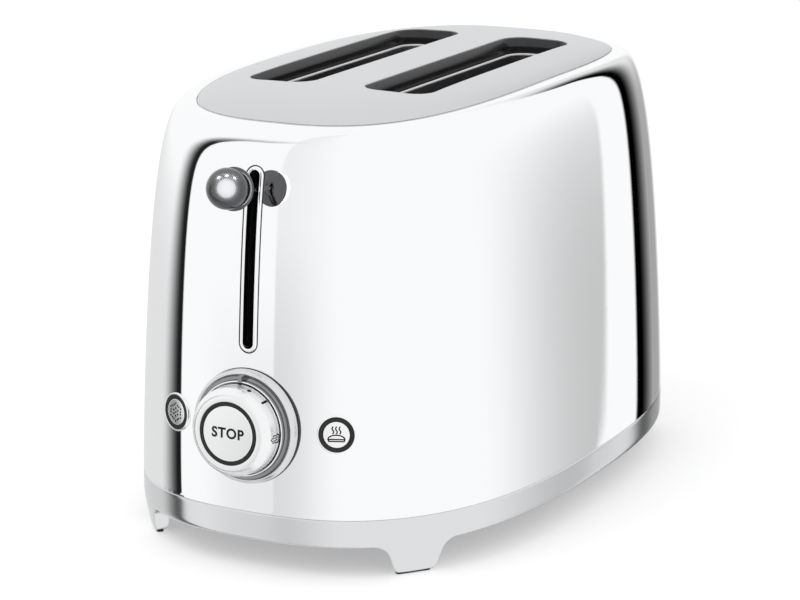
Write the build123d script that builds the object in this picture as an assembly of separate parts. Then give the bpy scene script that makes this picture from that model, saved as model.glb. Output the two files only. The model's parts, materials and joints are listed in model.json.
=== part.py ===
from build123d import *
import math
import os

# Two-slice toaster with a long rounded metal body, a ball lever, a rotary browning
# control and two side buttons on its front end.
# Millimetres. +Z is up, -Y is the front end with the controls, +X the long side.
# The origin is on the table, under the middle of the body.

# Body outline: superellipses from the base band up to the rim of the top plate
BODY_WIDTH = 194.1
BODY_LENGTH = 312.0
BODY_HEIGHT = 198.0
BASE_CURVE = 2.64
CROWN_INSET_X = 27.65
CROWN_INSET_Y = 25.45
CROWN_WIDTH = BODY_WIDTH - 2 * CROWN_INSET_X
CROWN_LENGTH = BODY_LENGTH - 2 * CROWN_INSET_Y
CROWN_CURVE = 2.88
CROWN_DROP = 6.8
PLATE_ROLL = 8.3
PLATE_SHARES = (1.0, 0.975, 0.94, 0.89, 0.82, 0.72, 0.58)
WALL_LEAN = 1.24
SHOULDER_ROUND = 3.36
SHELL_WALL = 1.2
OUTLINE_STEPS = 36
LOFT_LEVELS = 12
LEVEL_SPREAD = 2.8

# Base band and feet
BAND_TOP = 26.1
BAND_BOTTOM = 13.8
BAND_WALL = 3.0
BAND_EDGE = 0.5
FLANGE_REACH = 8.0
FLANGE_THICK = 1.5
FOOT_REACH = 31.95
FOOT_X = BODY_WIDTH / 2 - FOOT_REACH
FOOT_HALF = 8.0
FOOT_FLARE = 6.8
FOOT_INSET = 2.65
FOOT_TOE_ROUND = 2.5
FOOT_ROOT_ROUND = 10.0
PAD_THICK = 1.0
PAD_MARGIN = 1.6

# Room between the chambers and the body
END_ROOM = 66.0
FRAME_ROOM = 14.0
CHASSIS_ROOM = 3.4
CHAMBER_HALF_LENGTH = BODY_LENGTH / 2 - END_ROOM
CHASSIS_HALF = CROWN_WIDTH / 2 - CHASSIS_ROOM
FRAME_LEVEL = BODY_HEIGHT - FRAME_ROOM
LEG_WIDTH = 10.0
LEG_FOOT = 12.0

# Base pan, crumb tray and what stands on the pan
PAN_THICK = 1.5
VENT_COUNT = 6
VENT_LENGTH = 18.0
VENT_WIDTH = 3.0
VENT_PITCH = 14.0
TRAY_ROOM = 8.0
TRAY_HALF = CHASSIS_HALF - LEG_WIDTH - TRAY_ROOM
TRAY_DEPTH = 5.2
TRAY_SHEET = 0.8
TRAY_FRONT = 4.0 - CHAMBER_HALF_LENGTH
HANDLE_DEPTH = 6.0
GRIP_WIDTH = 34.0
RUN_GAP = 0.3
RUNNER_WIDTH = 1.6
CORD_BORE = 3.6
GROMMET_NECK = 5.0
GROMMET_FLANGE = 7.5
CORD_INSET = 7.0
CORD_X = CORD_INSET - CHASSIS_HALF
CORD_ROOM = 21.0
CORD_Y = CHAMBER_HALF_LENGTH + CORD_ROOM
RUNNER_REACH = 17.0
RUNNER_END = CORD_Y + RUNNER_REACH
CLEAT_Y = 50.0
CLEAT_POST = 4.0
CLEAT_BAR = 34.0
CLEAT_DROP = 8.5
SCREW_RADIUS = 1.6
SCREW_HEAD = 3.2
SCREW_HEAD_THICK = 1.4

# Bread chambers
SLOT_SHARE = 0.208
SLOT_CENTRE = SLOT_SHARE * CROWN_WIDTH
SLOT_HALF = 16.55
SLOT_ROOM = 11.55
SLOT_HALF_LENGTH = CHAMBER_HALF_LENGTH - SLOT_ROOM
SLOT_CORNER = 8.0
PLATE_SHEET = 1.2
PLATE_GAP = 1.1
RIM_SEAT = 1.2
LINER_WALL = 1.4
LINER_SINK = 0.4
LINER_FOOT = 3.0
THROAT_INSET = 3.6
THROAT_SHEET = 1.0
THROAT_DEPTH = 11.0
BEAD_HEIGHT = 1.3
BEAD_EDGE = 0.45
FRAME_SHEET = 1.2
FRAME_HALF_X = CHASSIS_HALF - 3.0
FRAME_HALF_Y = CHAMBER_HALF_LENGTH + 16.0
FRAME_CORNER = 24.0
CHASSIS_SHEET = 1.0
REFLECTOR_X = CHASSIS_HALF - 7.0
REFLECTOR_SHEET = 0.8
REFLECTOR_BOTTOM = 27.0
HEATER_OFFSET = 20.5
MICA = 0.8
HEATER_BOTTOM = 36.0
HEATER_TOP = FRAME_LEVEL - 14.0
RIBBON_THICK = 0.4
RIBBON_WIDTH = 1.8
RIBBON_RUNS = 10
RIBBON_PITCH = 11.5
RIBBON_HALF_LENGTH = CHAMBER_HALF_LENGTH - 14.0

# Bread guides
GUIDE_OFFSET = 15.5
GUIDE_SHEET = 1.0
GUIDE_HALF_LENGTH = CHAMBER_HALF_LENGTH - 10.0
GUIDE_TOP = FRAME_LEVEL - 14.0
GUIDE_BARS = 8
GUIDE_BAR_WIDTH = 3.0
GUIDE_RAIL = 4.0
PIVOT_Z = 44.0
PIVOT_RADIUS = 1.25
KNUCKLE_RADIUS = 2.4
KNUCKLE_LENGTH = 10.0
FIT = 0.06

# Carriage, lever and lift
RACK_DROP = 72.0
RACK_TOP = FRAME_LEVEL - RACK_DROP
RACK_SHEET = 1.2
RACK_HALF_WIDTH = 6.5
RACK_HALF_LENGTH = CHAMBER_HALF_LENGTH - 12.0
RACK_WINDOWS = 7
RACK_WINDOW_LENGTH = 15.0
ARM_THICK = 2.0
ARM_DEPTH = 6.8
ARM_REACH = 30.0
CROSSBAR_HALF = SLOT_CENTRE + 5.0
CROSSBAR_SHEET = 1.5
CROSSBAR_GAP = 2.0
CROSSBAR_HEIGHT = 14.0
ROD_RADIUS = 2.5
ROD_X = SLOT_CENTRE - 5.0
ROD_GAP = 8.0
BUSH_RADIUS = 4.5
BLADE_THICK = 2.0
BLADE_DEPTH = 9.5
FINGER_DEPTH = 7.0
FINGER_ROOM = 18.0
FINGER_END = BODY_LENGTH / 2 - FINGER_ROOM
BALL_RADIUS = 8.74
BALL_BANDS = 8
BALL_REACH = 12.0
BALL_Y = -BODY_LENGTH / 2 - BALL_REACH
BALL_DROP = 28.7
BALL_Z = BODY_HEIGHT - BALL_DROP
COLLAR_RADIUS = 9.2
COLLAR_BACK = 6.0
STEM_RADIUS = 1.35
LEVER_TILT = 12.0
ARMATURE_HALF = 11.0
ARMATURE_THICK = 2.0
SPRING_RADIUS = 3.0
SPRING_BORE = 2.2
SPRING_X = 13.0
MAGNET_HALF = 10.0
MAGNET_DEPTH = 9.0
COIL_RADIUS = 4.2
POLE_THICK = 2.5

# Lever slot, knob and buttons on the front end
CONTROL_Z = 64.0
SLOT_BOTTOM = CONTROL_Z + 33.4
SLOT_TOP = BALL_Z + 3.4
SLOT_SPARE = 9.3
LIFT_TRAVEL = SLOT_TOP - SLOT_BOTTOM - SLOT_SPARE
LEVER_SLOT_HALF = 2.45
BEZEL_LIP = 1.7
BEZEL_PROUD = 0.8
GUARD_WALL = 1.2
GUARD_DROP = 4.0
HOLE_DEPTH = 9.0
KNOB_RADIUS = 19.3
KNOB_FACE = 14.0
KNOB_SKIRT_END = 5.9
KNOB_BEVEL = 2.2
BEVEL_SHARES = (0.3, 0.35)
KNOB_CLEAR = 0.4
KNOB_WALL = 2.0
KNOB_FLOOR = 10.2
KNOB_WEB = 2.0
HUB_RADIUS = 5.0
DISH_RADIUS = 25.0
DISH_HEIGHT = 6.4
DISH_EDGE = 0.9
DISH_RAMP = ((0.0, 0.0), (0.4, 1.0), (1.2, 2.0), (2.4, 2.9))
DISH_LIP = ((1.8, 1.0), (1.2, 0.2), (0.9, 0.0), (0.4, 0.0))
DISH_BORE = 12.0
RING_RADIUS = 13.7
RING_WIDTH = 1.5
STOP_GAP = 0.2
STOP_THICK = 2.4
STOP_STEM = 2.4
STOP_TRAVEL = 1.2
PANEL_ROOM = 31.0
PANEL_Y = -CHAMBER_HALF_LENGTH - PANEL_ROOM
PANEL_SHEET = 2.0
PANEL_HALF = 46.0
PANEL_TOP = 89.0
PANEL_FOOT = 12.0
BOARD_THICK = 1.6
BOARD_BOTTOM = 30.0
SWITCH_HALF = 9.5
SWITCH_DEPTH = 9.4
BUTTON_X = 39.2
BUTTON_RADIUS = 5.75
BUTTON_RING = 7.6
BUTTON_RIM = 8.4
BUTTON_PROUD = 0.7
BUTTON_TRAVEL = 1.2
BUTTON_STEM = 2.0
BUTTON_STEM_LENGTH = 9.0
BUTTON_CAP = 3.0
PRESS_SWITCH_HALF = 3.6

# Rear end
BLOCK_HALF_X = 8.0
BLOCK_HALF_Y = 5.0
BLOCK_HEIGHT = 12.0

RIM_Z = BODY_HEIGHT - CROWN_DROP
PAN_BOTTOM = BAND_BOTTOM + FLANGE_THICK
PAN_TOP = PAN_BOTTOM + PAN_THICK
TRAY_BOTTOM = PAN_TOP + RUN_GAP
TRAY_TOP = TRAY_BOTTOM + TRAY_DEPTH
FRAME_TOP = FRAME_LEVEL + FRAME_SHEET
SIDES = {"left": -1, "right": 1}
FAR = 400.0


def shell_size(z):
    """Half-width, half-length and curve of the shell's outside at a height."""
    rise = min(max((z - BAND_TOP) / (RIM_Z - BAND_TOP), 0.0), 1.0)
    spread = (1.0 - rise**WALL_LEAN) ** (1.0 / SHOULDER_ROUND)
    half_x = CROWN_WIDTH / 2 + (BODY_WIDTH - CROWN_WIDTH) / 2 * spread
    half_y = CROWN_LENGTH / 2 + (BODY_LENGTH - CROWN_LENGTH) / 2 * spread
    return half_x, half_y, CROWN_CURVE + (BASE_CURVE - CROWN_CURVE) * spread


def shell_slope(z):
    """How far the half-width shrinks for each millimetre of height."""
    step = 0.05
    low = max(z - step, BAND_TOP)
    high = min(z + step, RIM_Z)
    return (shell_size(low)[0] - shell_size(high)[0]) / (high - low)


def outline(half_x, half_y, curve, z):
    """Closed superellipse wire at a height."""
    points = []
    for step in range(OUTLINE_STEPS):
        turn = 2 * math.pi * step / OUTLINE_STEPS
        cosine, sine = math.cos(turn), math.sin(turn)
        x = half_x * math.copysign(abs(cosine) ** (2 / curve), cosine)
        y = half_y * math.copysign(abs(sine) ** (2 / curve), sine)
        points.append((x, y, z))
    return Wire([Spline(*points, periodic=True)])


def shell_outline(z, grow=0.0):
    """Outline of the shell at a height, grown or shrunk square to its wall."""
    half_x, half_y, curve = shell_size(z)
    reach = grow * math.hypot(1.0, shell_slope(z))
    return outline(half_x + reach, half_y + reach, curve, z)


def shell_levels(top):
    """Heights of the loft's sections, closer together up the shoulder."""
    rest = [(1 - k / LOFT_LEVELS) ** LEVEL_SPREAD for k in range(LOFT_LEVELS)]
    heights = [RIM_Z - (RIM_Z - BAND_TOP) * share for share in rest]
    return [z for z in heights if z < top - SHELL_WALL / 10] + [top]


def shell_solid(grow=0.0, top=RIM_Z):
    """Solid inside the shell's outside face, grown or shrunk."""
    return Solid.make_loft([shell_outline(z, grow) for z in shell_levels(top)], ruled=True)


def base_prism(inset, low, high):
    """Upright prism on the base outline, set in by a distance."""
    wire = outline(BODY_WIDTH / 2 - inset, BODY_LENGTH / 2 - inset, BASE_CURVE, low)
    return Solid.extrude(Face(wire), Vector(0, 0, high - low))


def block(x0, x1, y0, y1, z0, z1):
    """Box between two corners."""
    centre = ((x0 + x1) / 2, (y0 + y1) / 2, (z0 + z1) / 2)
    return Pos(*centre) * Box(abs(x1 - x0), abs(y1 - y0), abs(z1 - z0))


def post(radius, x, y, z0, z1):
    """Upright cylinder."""
    return Pos(x, y, (z0 + z1) / 2) * Cylinder(radius, z1 - z0)


def slot_prism(half_x, half_y, corner, x, z0, z1):
    """Upright prism with a rounded rectangular outline."""
    sketch = Pos(x, 0, z0) * RectangleRounded(2 * half_x, 2 * half_y, corner)
    return extrude(sketch, z1 - z0)


def shell_y(x, z):
    """Where the shell's front face lies, at a place seen from the front."""
    half_x, half_y, curve = shell_size(z)
    return -half_y * (1 - (abs(x) / half_x) ** curve) ** (1 / curve)


def control_plane(x, z):
    """Plane on the shell's front face, facing square out of it."""
    step = 0.5
    across = (shell_y(x + step, z) - shell_y(x - step, z)) / (2 * step)
    upward = (shell_y(x, z + step) - shell_y(x, z - step)) / (2 * step)
    normal = Vector(across, -1.0, upward).normalized()
    return Plane(origin=(x, shell_y(x, z), z), x_dir=(1, across, 0), z_dir=normal)


def turned(profile, plane):
    """Solid turned about a plane's own normal from points of radius and height."""
    face = make_face(Polyline(*[(r, 0, h) for r, h in profile], close=True))
    return plane * revolve(face, Axis.Z)


def ring(inner, outer, low, high, plane):
    """Plain ring about a plane's normal."""
    return turned([(inner, low), (outer, low), (outer, high), (inner, high)], plane)


def disc(radius, low, high, plane):
    """Plain disc about a plane's normal."""
    return plane * (Pos(0, 0, (low + high) / 2) * Cylinder(radius, high - low))


OUTSIDE = shell_solid()
KNOB_PLANE = control_plane(0.0, CONTROL_Z)
BUTTON_PLANES = {
    "defrost": control_plane(-BUTTON_X, CONTROL_Z),
    "bun": control_plane(BUTTON_X, CONTROL_Z),
}


def lever_slot(grow, front, back, drop=0.0):
    """Prism of the lever slot's rounded outline, grown and reaching further down."""
    width = 2 * (LEVER_SLOT_HALF + grow)
    height = SLOT_TOP - SLOT_BOTTOM + drop + 2 * grow
    middle = (SLOT_TOP + SLOT_BOTTOM - drop) / 2
    face = Plane(origin=(0, front, middle), x_dir=(0, 0, 1), z_dir=(0, 1, 0))
    return extrude(face * SlotOverall(height, width), back - front)


def body_shell():
    """Plated outer shell with its rolled shoulder, rim seat and front openings."""
    seat = RIM_Z - RIM_SEAT
    inside = shell_solid(-SHELL_WALL, seat - SHELL_WALL)
    half_x, half_y, curve = shell_size(RIM_Z)
    pocket_wire = outline(half_x - RIM_SEAT / 2, half_y - RIM_SEAT / 2, curve, seat)
    pocket = Solid.extrude(Face(pocket_wire), Vector(0, 0, FAR))
    opening_wire = outline(half_x - FLANGE_REACH, half_y - FLANGE_REACH, curve, BAND_TOP)
    opening = Solid.extrude(Face(opening_wire), Vector(0, 0, FAR))
    shell = OUTSIDE - inside - pocket - opening
    shell -= lever_slot(0.0, -FAR, -CHAMBER_HALF_LENGTH)
    shell -= disc(DISH_BORE, -HOLE_DEPTH, HOLE_DEPTH, KNOB_PLANE)
    for plane in BUTTON_PLANES.values():
        shell -= disc(BUTTON_RING, -HOLE_DEPTH, HOLE_DEPTH, plane)
    return shell


def dome(lower):
    """Solid under the top plate's outside face, lowered by a distance."""
    half_x = CROWN_WIDTH / 2 - PLATE_GAP
    half_y = CROWN_LENGTH / 2 - PLATE_GAP
    wires = []
    for share in PLATE_SHARES:
        z = BODY_HEIGHT - CROWN_DROP * share**PLATE_ROLL - lower
        wires.append(outline(half_x * share, half_y * share, CROWN_CURVE, z))
    skirt = Face(outline(half_x, half_y, CROWN_CURVE, FRAME_LEVEL))
    cap = Solid.make_loft(wires, ruled=True)
    return cap + Solid.extrude(skirt, Vector(0, 0, RIM_Z - lower - FRAME_LEVEL))


def top_plate():
    """Satin top plate: a shallow dished sheet with a turned-down rim and two slots."""
    half_x = CROWN_WIDTH / 2 - PLATE_GAP - PLATE_SHEET
    half_y = CROWN_LENGTH / 2 - PLATE_GAP - PLATE_SHEET
    hollow = Solid.extrude(Face(outline(half_x, half_y, CROWN_CURVE, 0)), Vector(0, 0, FAR))
    plate = dome(0.0) - (dome(PLATE_SHEET) & hollow)
    plate -= block(-FAR, FAR, -FAR, FAR, 0, RIM_Z - RIM_SEAT)
    for side in SIDES.values():
        plate -= slot_prism(SLOT_HALF, SLOT_HALF_LENGTH, SLOT_CORNER, side * SLOT_CENTRE, 0, FAR)
    return plate


def slot_liner(side):
    """Black tube that lines one bread slot from the plate down to the steel frame."""
    x = side * SLOT_CENTRE
    tube = slot_prism(SLOT_HALF, SLOT_HALF_LENGTH, SLOT_CORNER, x, FRAME_TOP, BODY_HEIGHT)
    tube &= dome(LINER_SINK)
    tube += slot_prism(
        SLOT_HALF + LINER_FOOT,
        SLOT_HALF_LENGTH + LINER_FOOT,
        SLOT_CORNER,
        x,
        FRAME_TOP,
        FRAME_TOP + LINER_WALL,
    ) & block(0, side * FAR, -FAR, FAR, 0, FAR)
    return tube - slot_prism(
        SLOT_HALF - LINER_WALL,
        SLOT_HALF_LENGTH - LINER_WALL,
        SLOT_CORNER - LINER_WALL,
        x,
        0,
        FAR,
    )


def chamber_top_frame():
    """Steel frame over both chambers, with a beaded and turned-down throat for each."""
    frame = slot_prism(FRAME_HALF_X, FRAME_HALF_Y, FRAME_CORNER, 0, FRAME_LEVEL, FRAME_TOP)
    half_x, half_y = SLOT_HALF - THROAT_INSET, SLOT_HALF_LENGTH - THROAT_INSET
    corner = SLOT_CORNER - THROAT_SHEET
    for side in SIDES.values():
        x = side * SLOT_CENTRE
        lip = THROAT_SHEET
        frame += slot_prism(
            half_x + lip, half_y + lip, corner + lip, x, FRAME_TOP - THROAT_DEPTH, FRAME_TOP
        )
        bead = slot_prism(
            half_x + 2 * lip,
            half_y + 2 * lip,
            corner + 2 * lip,
            x,
            FRAME_LEVEL,
            FRAME_TOP + BEAD_HEIGHT,
        )
        bead = chamfer(bead.faces().sort_by(Axis.Z)[-1].outer_wire().edges(), BEAD_EDGE)
        frame += bead
        frame -= slot_prism(half_x, half_y, corner, x, 0, FAR)
    return frame


def foot_plane(sign_x, sign_y):
    """Plane at a foot, with X along the outline and Z square out of it."""
    half_x, half_y, curve = shell_size(BAND_TOP)
    y = half_y * (1 - (FOOT_X / half_x) ** curve) ** (1 / curve)
    slope_x = FOOT_X ** (curve - 1) / half_x**curve
    slope_y = y ** (curve - 1) / half_y**curve
    normal = Vector(sign_x * slope_x, sign_y * slope_y, 0).normalized()
    return Plane(
        origin=(sign_x * FOOT_X, sign_y * y, 0),
        x_dir=(-normal.Y, normal.X, 0),
        z_dir=normal,
    )


def foot_silhouette():
    """Foot seen square on: flared sides, rounded toes and wide root fillets."""
    top = PAN_BOTTOM
    root = FOOT_HALF + FOOT_FLARE
    reach = root + 2 * FOOT_ROOT_ROUND
    points = [
        (-reach, top),
        (-reach, BAND_BOTTOM),
        (-root, BAND_BOTTOM),
        (-FOOT_HALF, PAD_THICK),
        (FOOT_HALF, PAD_THICK),
        (root, BAND_BOTTOM),
        (reach, BAND_BOTTOM),
        (reach, top),
    ]
    sketch = make_face(Polyline(*points, close=True))
    roots = [v for v in sketch.vertices() if abs(abs(v.X) - root) < FIT]
    sketch = fillet(roots, FOOT_ROOT_ROUND)
    toes = [v for v in sketch.vertices() if abs(v.Y - PAD_THICK) < FIT]
    return fillet(toes, FOOT_TOE_ROUND)


def base_band():
    """Die-cast base band with its inner flange and four flared feet."""
    half_x, half_y, curve = shell_size(BAND_TOP)
    heights = [
        (BAND_BOTTOM, BAND_EDGE),
        (BAND_BOTTOM + BAND_EDGE, 0.0),
        (BAND_TOP - BAND_EDGE, 0.0),
        (BAND_TOP, BAND_EDGE),
    ]
    wires = [outline(half_x - inset, half_y - inset, curve, z) for z, inset in heights]
    band = Solid.make_loft(wires, ruled=True)
    band -= base_prism(BAND_WALL, PAN_BOTTOM, FAR)
    feet_wires = [
        outline(half_x - FOOT_INSET, half_y - FOOT_INSET, curve, PAD_THICK),
        outline(half_x - BAND_EDGE, half_y - BAND_EDGE, curve, BAND_BOTTOM),
        outline(half_x - BAND_EDGE, half_y - BAND_EDGE, curve, BAND_BOTTOM + FLANGE_THICK / 2),
    ]
    feet_blank = Solid.make_loft(feet_wires, ruled=True)
    silhouette = foot_silhouette()
    for sign_x in (-1, 1):
        for sign_y in (-1, 1):
            cutter = extrude(foot_plane(sign_x, sign_y) * silhouette, FOOT_X / 2, both=True)
            band += feet_blank & cutter
    band -= base_prism(FLANGE_REACH, 0, FAR)
    tray = TRAY_HALF + RUN_GAP
    band -= block(-tray, tray, 0, FAR, PAN_TOP, TRAY_TOP + RUN_GAP)
    return band


def foot_pads():
    """Four rubber pads under the feet."""
    pads = []
    depth = FLANGE_REACH - FOOT_INSET - 2 * PAD_MARGIN + BAND_EDGE
    for sign_x in (-1, 1):
        for sign_y in (-1, 1):
            plane = foot_plane(sign_x, sign_y)
            middle = (FLANGE_REACH + FOOT_INSET) / 2
            centre = plane.origin - plane.z_dir * middle
            flat = Plane(origin=(centre.X, centre.Y, 0), x_dir=plane.x_dir, z_dir=(0, 0, 1))
            width = 2 * (FOOT_HALF - PAD_MARGIN)
            pads.append(extrude(flat * RectangleRounded(width, depth, depth / 3), PAD_THICK))
    return Compound(children=[pad.solid() for pad in pads])


def leg_centres():
    """Places of the screws through the pan into the end plates' feet."""
    x = CHASSIS_HALF - LEG_WIDTH / 2
    y = CHAMBER_HALF_LENGTH + CHASSIS_SHEET + LEG_FOOT / 2
    return [(sx * x, sy * y) for sx in (-1, 1) for sy in (-1, 1)]


def base_pan():
    """Moulded pan that closes the band, with vents, tray runners and cord cleats."""
    pan = base_prism(BAND_WALL + RUN_GAP / 2, PAN_BOTTOM, PAN_TOP)
    runner = TRAY_HALF + RUN_GAP
    for side in SIDES.values():
        low, high = side * runner, side * (runner + RUNNER_WIDTH)
        pan += block(low, high, TRAY_FRONT, RUNNER_END, PAN_TOP, TRAY_TOP)
        x = side * (CHASSIS_HALF + LEG_WIDTH)
        for index in range(VENT_COUNT):
            y = (index - (VENT_COUNT - 1) / 2) * VENT_PITCH
            half, length = VENT_WIDTH / 2, VENT_LENGTH / 2
            pan -= block(x - length, x + length, y - half, y + half, 0, FAR)
    for x, y in leg_centres():
        pan -= post(SCREW_RADIUS, x, y, 0, FAR)
    pan -= post(GROMMET_NECK, CORD_X, CORD_Y, 0, FAR)
    for sign in (-1, 1):
        y = sign * CLEAT_Y
        front, back = y - CLEAT_POST / 2, y + CLEAT_POST / 2
        low = PAN_BOTTOM - CLEAT_DROP
        pan += block(-CLEAT_POST, CLEAT_POST, front, back, low, PAN_BOTTOM)
        half = CLEAT_BAR / 2
        pan += block(-half, half, front, back, low, low + PAN_THICK)
    return pan


def cord_grommet():
    """Grommet round the cord outlet in the pan."""
    low, high = PAN_BOTTOM - PAN_THICK, PAN_TOP + PAN_THICK
    grommet = post(GROMMET_FLANGE, CORD_X, CORD_Y, low, high)
    grommet -= post(FAR, CORD_X, CORD_Y, PAN_BOTTOM, PAN_TOP) - post(
        GROMMET_NECK, CORD_X, CORD_Y, PAN_BOTTOM, PAN_TOP
    )
    return grommet - post(CORD_BORE, CORD_X, CORD_Y, 0, FAR)


def base_screws():
    """Four screws from under the pan into the end plates' feet."""
    screws = []
    for x, y in leg_centres():
        shank = post(SCREW_RADIUS, x, y, PAN_BOTTOM - SCREW_HEAD_THICK, PAN_TOP + CHASSIS_SHEET)
        head = post(SCREW_HEAD, x, y, PAN_BOTTOM - SCREW_HEAD_THICK, PAN_BOTTOM)
        screws.append((shank + head).solid())
    return Compound(children=screws)


def crumb_tray():
    """Folded steel tray that slides out of the rear end."""
    rear = BODY_LENGTH / 2 - HANDLE_DEPTH
    box = block(-TRAY_HALF, TRAY_HALF, TRAY_FRONT, rear, TRAY_BOTTOM, TRAY_TOP)
    sheet = TRAY_SHEET
    hollow = block(
        -TRAY_HALF + sheet, TRAY_HALF - sheet, TRAY_FRONT + sheet, FAR, TRAY_BOTTOM + sheet, FAR
    )
    return (box - hollow) & base_prism(HANDLE_DEPTH, 0, FAR)


def tray_handle():
    """Rear face of the tray, flush with the band, with a finger grip under it."""
    bar = block(-TRAY_HALF, TRAY_HALF, 0, FAR, TRAY_BOTTOM, TRAY_TOP)
    bar &= base_prism(0.0, 0, FAR)
    bar -= base_prism(HANDLE_DEPTH, 0, FAR)
    grip = block(
        -GRIP_WIDTH / 2,
        GRIP_WIDTH / 2,
        BODY_LENGTH / 2 - HANDLE_DEPTH / 2,
        FAR,
        TRAY_BOTTOM,
        TRAY_BOTTOM + TRAY_DEPTH / 2,
    )
    return bar - grip


def end_plate(sign):
    """Steel end plate of the chambers, on two turned-out feet."""
    inner = sign * CHAMBER_HALF_LENGTH
    outer = inner + sign * CHASSIS_SHEET
    plate = block(-CHASSIS_HALF, CHASSIS_HALF, inner, outer, PAN_TOP, FRAME_LEVEL)
    leg = CHASSIS_HALF - LEG_WIDTH
    plate -= block(-leg, leg, inner, outer, 0, REFLECTOR_BOTTOM)
    for side in SIDES.values():
        plate += block(
            side * leg,
            side * CHASSIS_HALF,
            inner,
            outer + sign * LEG_FOOT,
            PAN_TOP,
            PAN_TOP + CHASSIS_SHEET,
        )
        if sign < 0:
            x = side * SLOT_CENTRE
            half = ARM_THICK / 2 + 2 * RUN_GAP
            low = RACK_TOP - RACK_SHEET - ARM_DEPTH - LIFT_TRAVEL - 2 * RUN_GAP
            plate -= block(x - half, x + half, inner, outer, low, RACK_TOP + RUN_GAP)
    for x, y in leg_centres():
        plate -= post(SCREW_RADIUS, x, y, 0, PAN_TOP + 2 * CHASSIS_SHEET)
    return plate


def reflector(side):
    """Bright steel sheet outside one chamber."""
    return block(
        side * REFLECTOR_X,
        side * (REFLECTOR_X + REFLECTOR_SHEET),
        -CHAMBER_HALF_LENGTH,
        CHAMBER_HALF_LENGTH,
        REFLECTOR_BOTTOM,
        FRAME_LEVEL,
    )


def heater_places():
    """Centre line of each heater board and the way to the bread from it."""
    return [(s * SLOT_CENTRE + e * HEATER_OFFSET, -e) for s in (-1, 1) for e in (-1, 1)]


def heater_board(x):
    """Mica board between the end plates."""
    return block(
        x - MICA / 2,
        x + MICA / 2,
        -CHAMBER_HALF_LENGTH,
        CHAMBER_HALF_LENGTH,
        HEATER_BOTTOM,
        HEATER_TOP,
    )


def heater_ribbon(x, inward):
    """One unbroken heating ribbon that runs to and fro over a board's bread side."""
    face = x + inward * MICA / 2
    back = face + inward * RIBBON_THICK
    middle = (HEATER_BOTTOM + HEATER_TOP) / 2
    bottom = middle - RIBBON_PITCH * (RIBBON_RUNS - 1) / 2
    half, length = RIBBON_WIDTH / 2, RIBBON_HALF_LENGTH
    ribbon = None
    for run in range(RIBBON_RUNS):
        z = bottom + run * RIBBON_PITCH
        strip = block(face, back, -length, length, z - half, z + half)
        ribbon = strip if ribbon is None else ribbon + strip
        if run < RIBBON_RUNS - 1:
            end = length if run % 2 == 0 else -length + RIBBON_WIDTH
            ribbon += block(face, back, end - RIBBON_WIDTH, end, z, z + RIBBON_PITCH)
    return ribbon


def guide_places():
    """Each bread guide's pivot line and the way to the bread from it."""
    return [(s * SLOT_CENTRE + e * GUIDE_OFFSET, -e) for s in (-1, 1) for e in (-1, 1)]


def bread_guide(x):
    """Stamped guide grille on two knuckles that turn on the pivot rod."""
    half = GUIDE_SHEET / 2
    length = GUIDE_HALF_LENGTH
    grille = block(x - half, x + half, -length, length, PIVOT_Z + KNUCKLE_RADIUS / 2, GUIDE_TOP)
    pitch = (2 * length - GUIDE_BAR_WIDTH) / (GUIDE_BARS - 1)
    low, high = PIVOT_Z + KNUCKLE_RADIUS + GUIDE_RAIL, GUIDE_TOP - GUIDE_RAIL
    for index in range(GUIDE_BARS - 1):
        y = -length + GUIDE_BAR_WIDTH + index * pitch
        grille -= block(x - half, x + half, y, y + pitch - GUIDE_BAR_WIDTH, low, high)
    for sign in (-1, 1):
        y = sign * (length - KNUCKLE_LENGTH / 2)
        grille += rod_y(KNUCKLE_RADIUS, x, PIVOT_Z, y, KNUCKLE_LENGTH)
    low = PIVOT_Z + KNUCKLE_RADIUS
    middle = length - KNUCKLE_LENGTH
    grille -= block(x - half, x + half, -middle, middle, 0, low)
    return grille - rod_y(PIVOT_RADIUS + FIT, x, PIVOT_Z, 0, FAR)


def rod_y(radius, x, z, y, length):
    """Cylinder along Y."""
    return Pos(x, y, z) * Rot(90, 0, 0) * Cylinder(radius, length)


def guide_pivots():
    """Four rods between the end plates that carry the bread guides."""
    rods = [
        rod_y(PIVOT_RADIUS, x, PIVOT_Z, 0, 2 * CHAMBER_HALF_LENGTH).solid() for x, _ in guide_places()
    ]
    return Compound(children=rods)


CROSSBAR_FRONT = -CHAMBER_HALF_LENGTH - CHASSIS_SHEET - CROSSBAR_GAP
ROD_Y = CROSSBAR_FRONT - ROD_GAP
ARM_BOTTOM = RACK_TOP - RACK_SHEET - ARM_DEPTH


def carriage_bracket():
    """Cross bar on two bushes, with an arm into each chamber and the lever's blade."""
    front = CROSSBAR_FRONT - CROSSBAR_SHEET
    top = ARM_BOTTOM + CROSSBAR_HEIGHT
    bracket = block(-CROSSBAR_HALF, CROSSBAR_HALF, front, CROSSBAR_FRONT, ARM_BOTTOM, top)
    for side in SIDES.values():
        x = side * SLOT_CENTRE
        half = ARM_THICK / 2
        rear = -CHAMBER_HALF_LENGTH + ARM_REACH
        arm = block(x - half, x + half, front, rear, ARM_BOTTOM, ARM_BOTTOM + ARM_DEPTH)
        bush = post(BUSH_RADIUS, side * ROD_X, ROD_Y, ARM_BOTTOM, top)
        web = block(side * ROD_X - half, side * ROD_X + half, ROD_Y, front, ARM_BOTTOM, top)
        bracket += arm + bush + web
    for side in SIDES.values():
        bracket -= post(ROD_RADIUS + FIT, side * ROD_X, ROD_Y, 0, FAR)
    finger_top = finger_height() + FINGER_DEPTH / 2
    half = BLADE_THICK / 2
    blade_front = front - BLADE_DEPTH
    bracket += block(-half, half, blade_front, front, ARM_BOTTOM, finger_top)
    bracket += block(
        -half, half, -FINGER_END, blade_front, finger_top - FINGER_DEPTH, finger_top
    )
    return bracket


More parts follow.
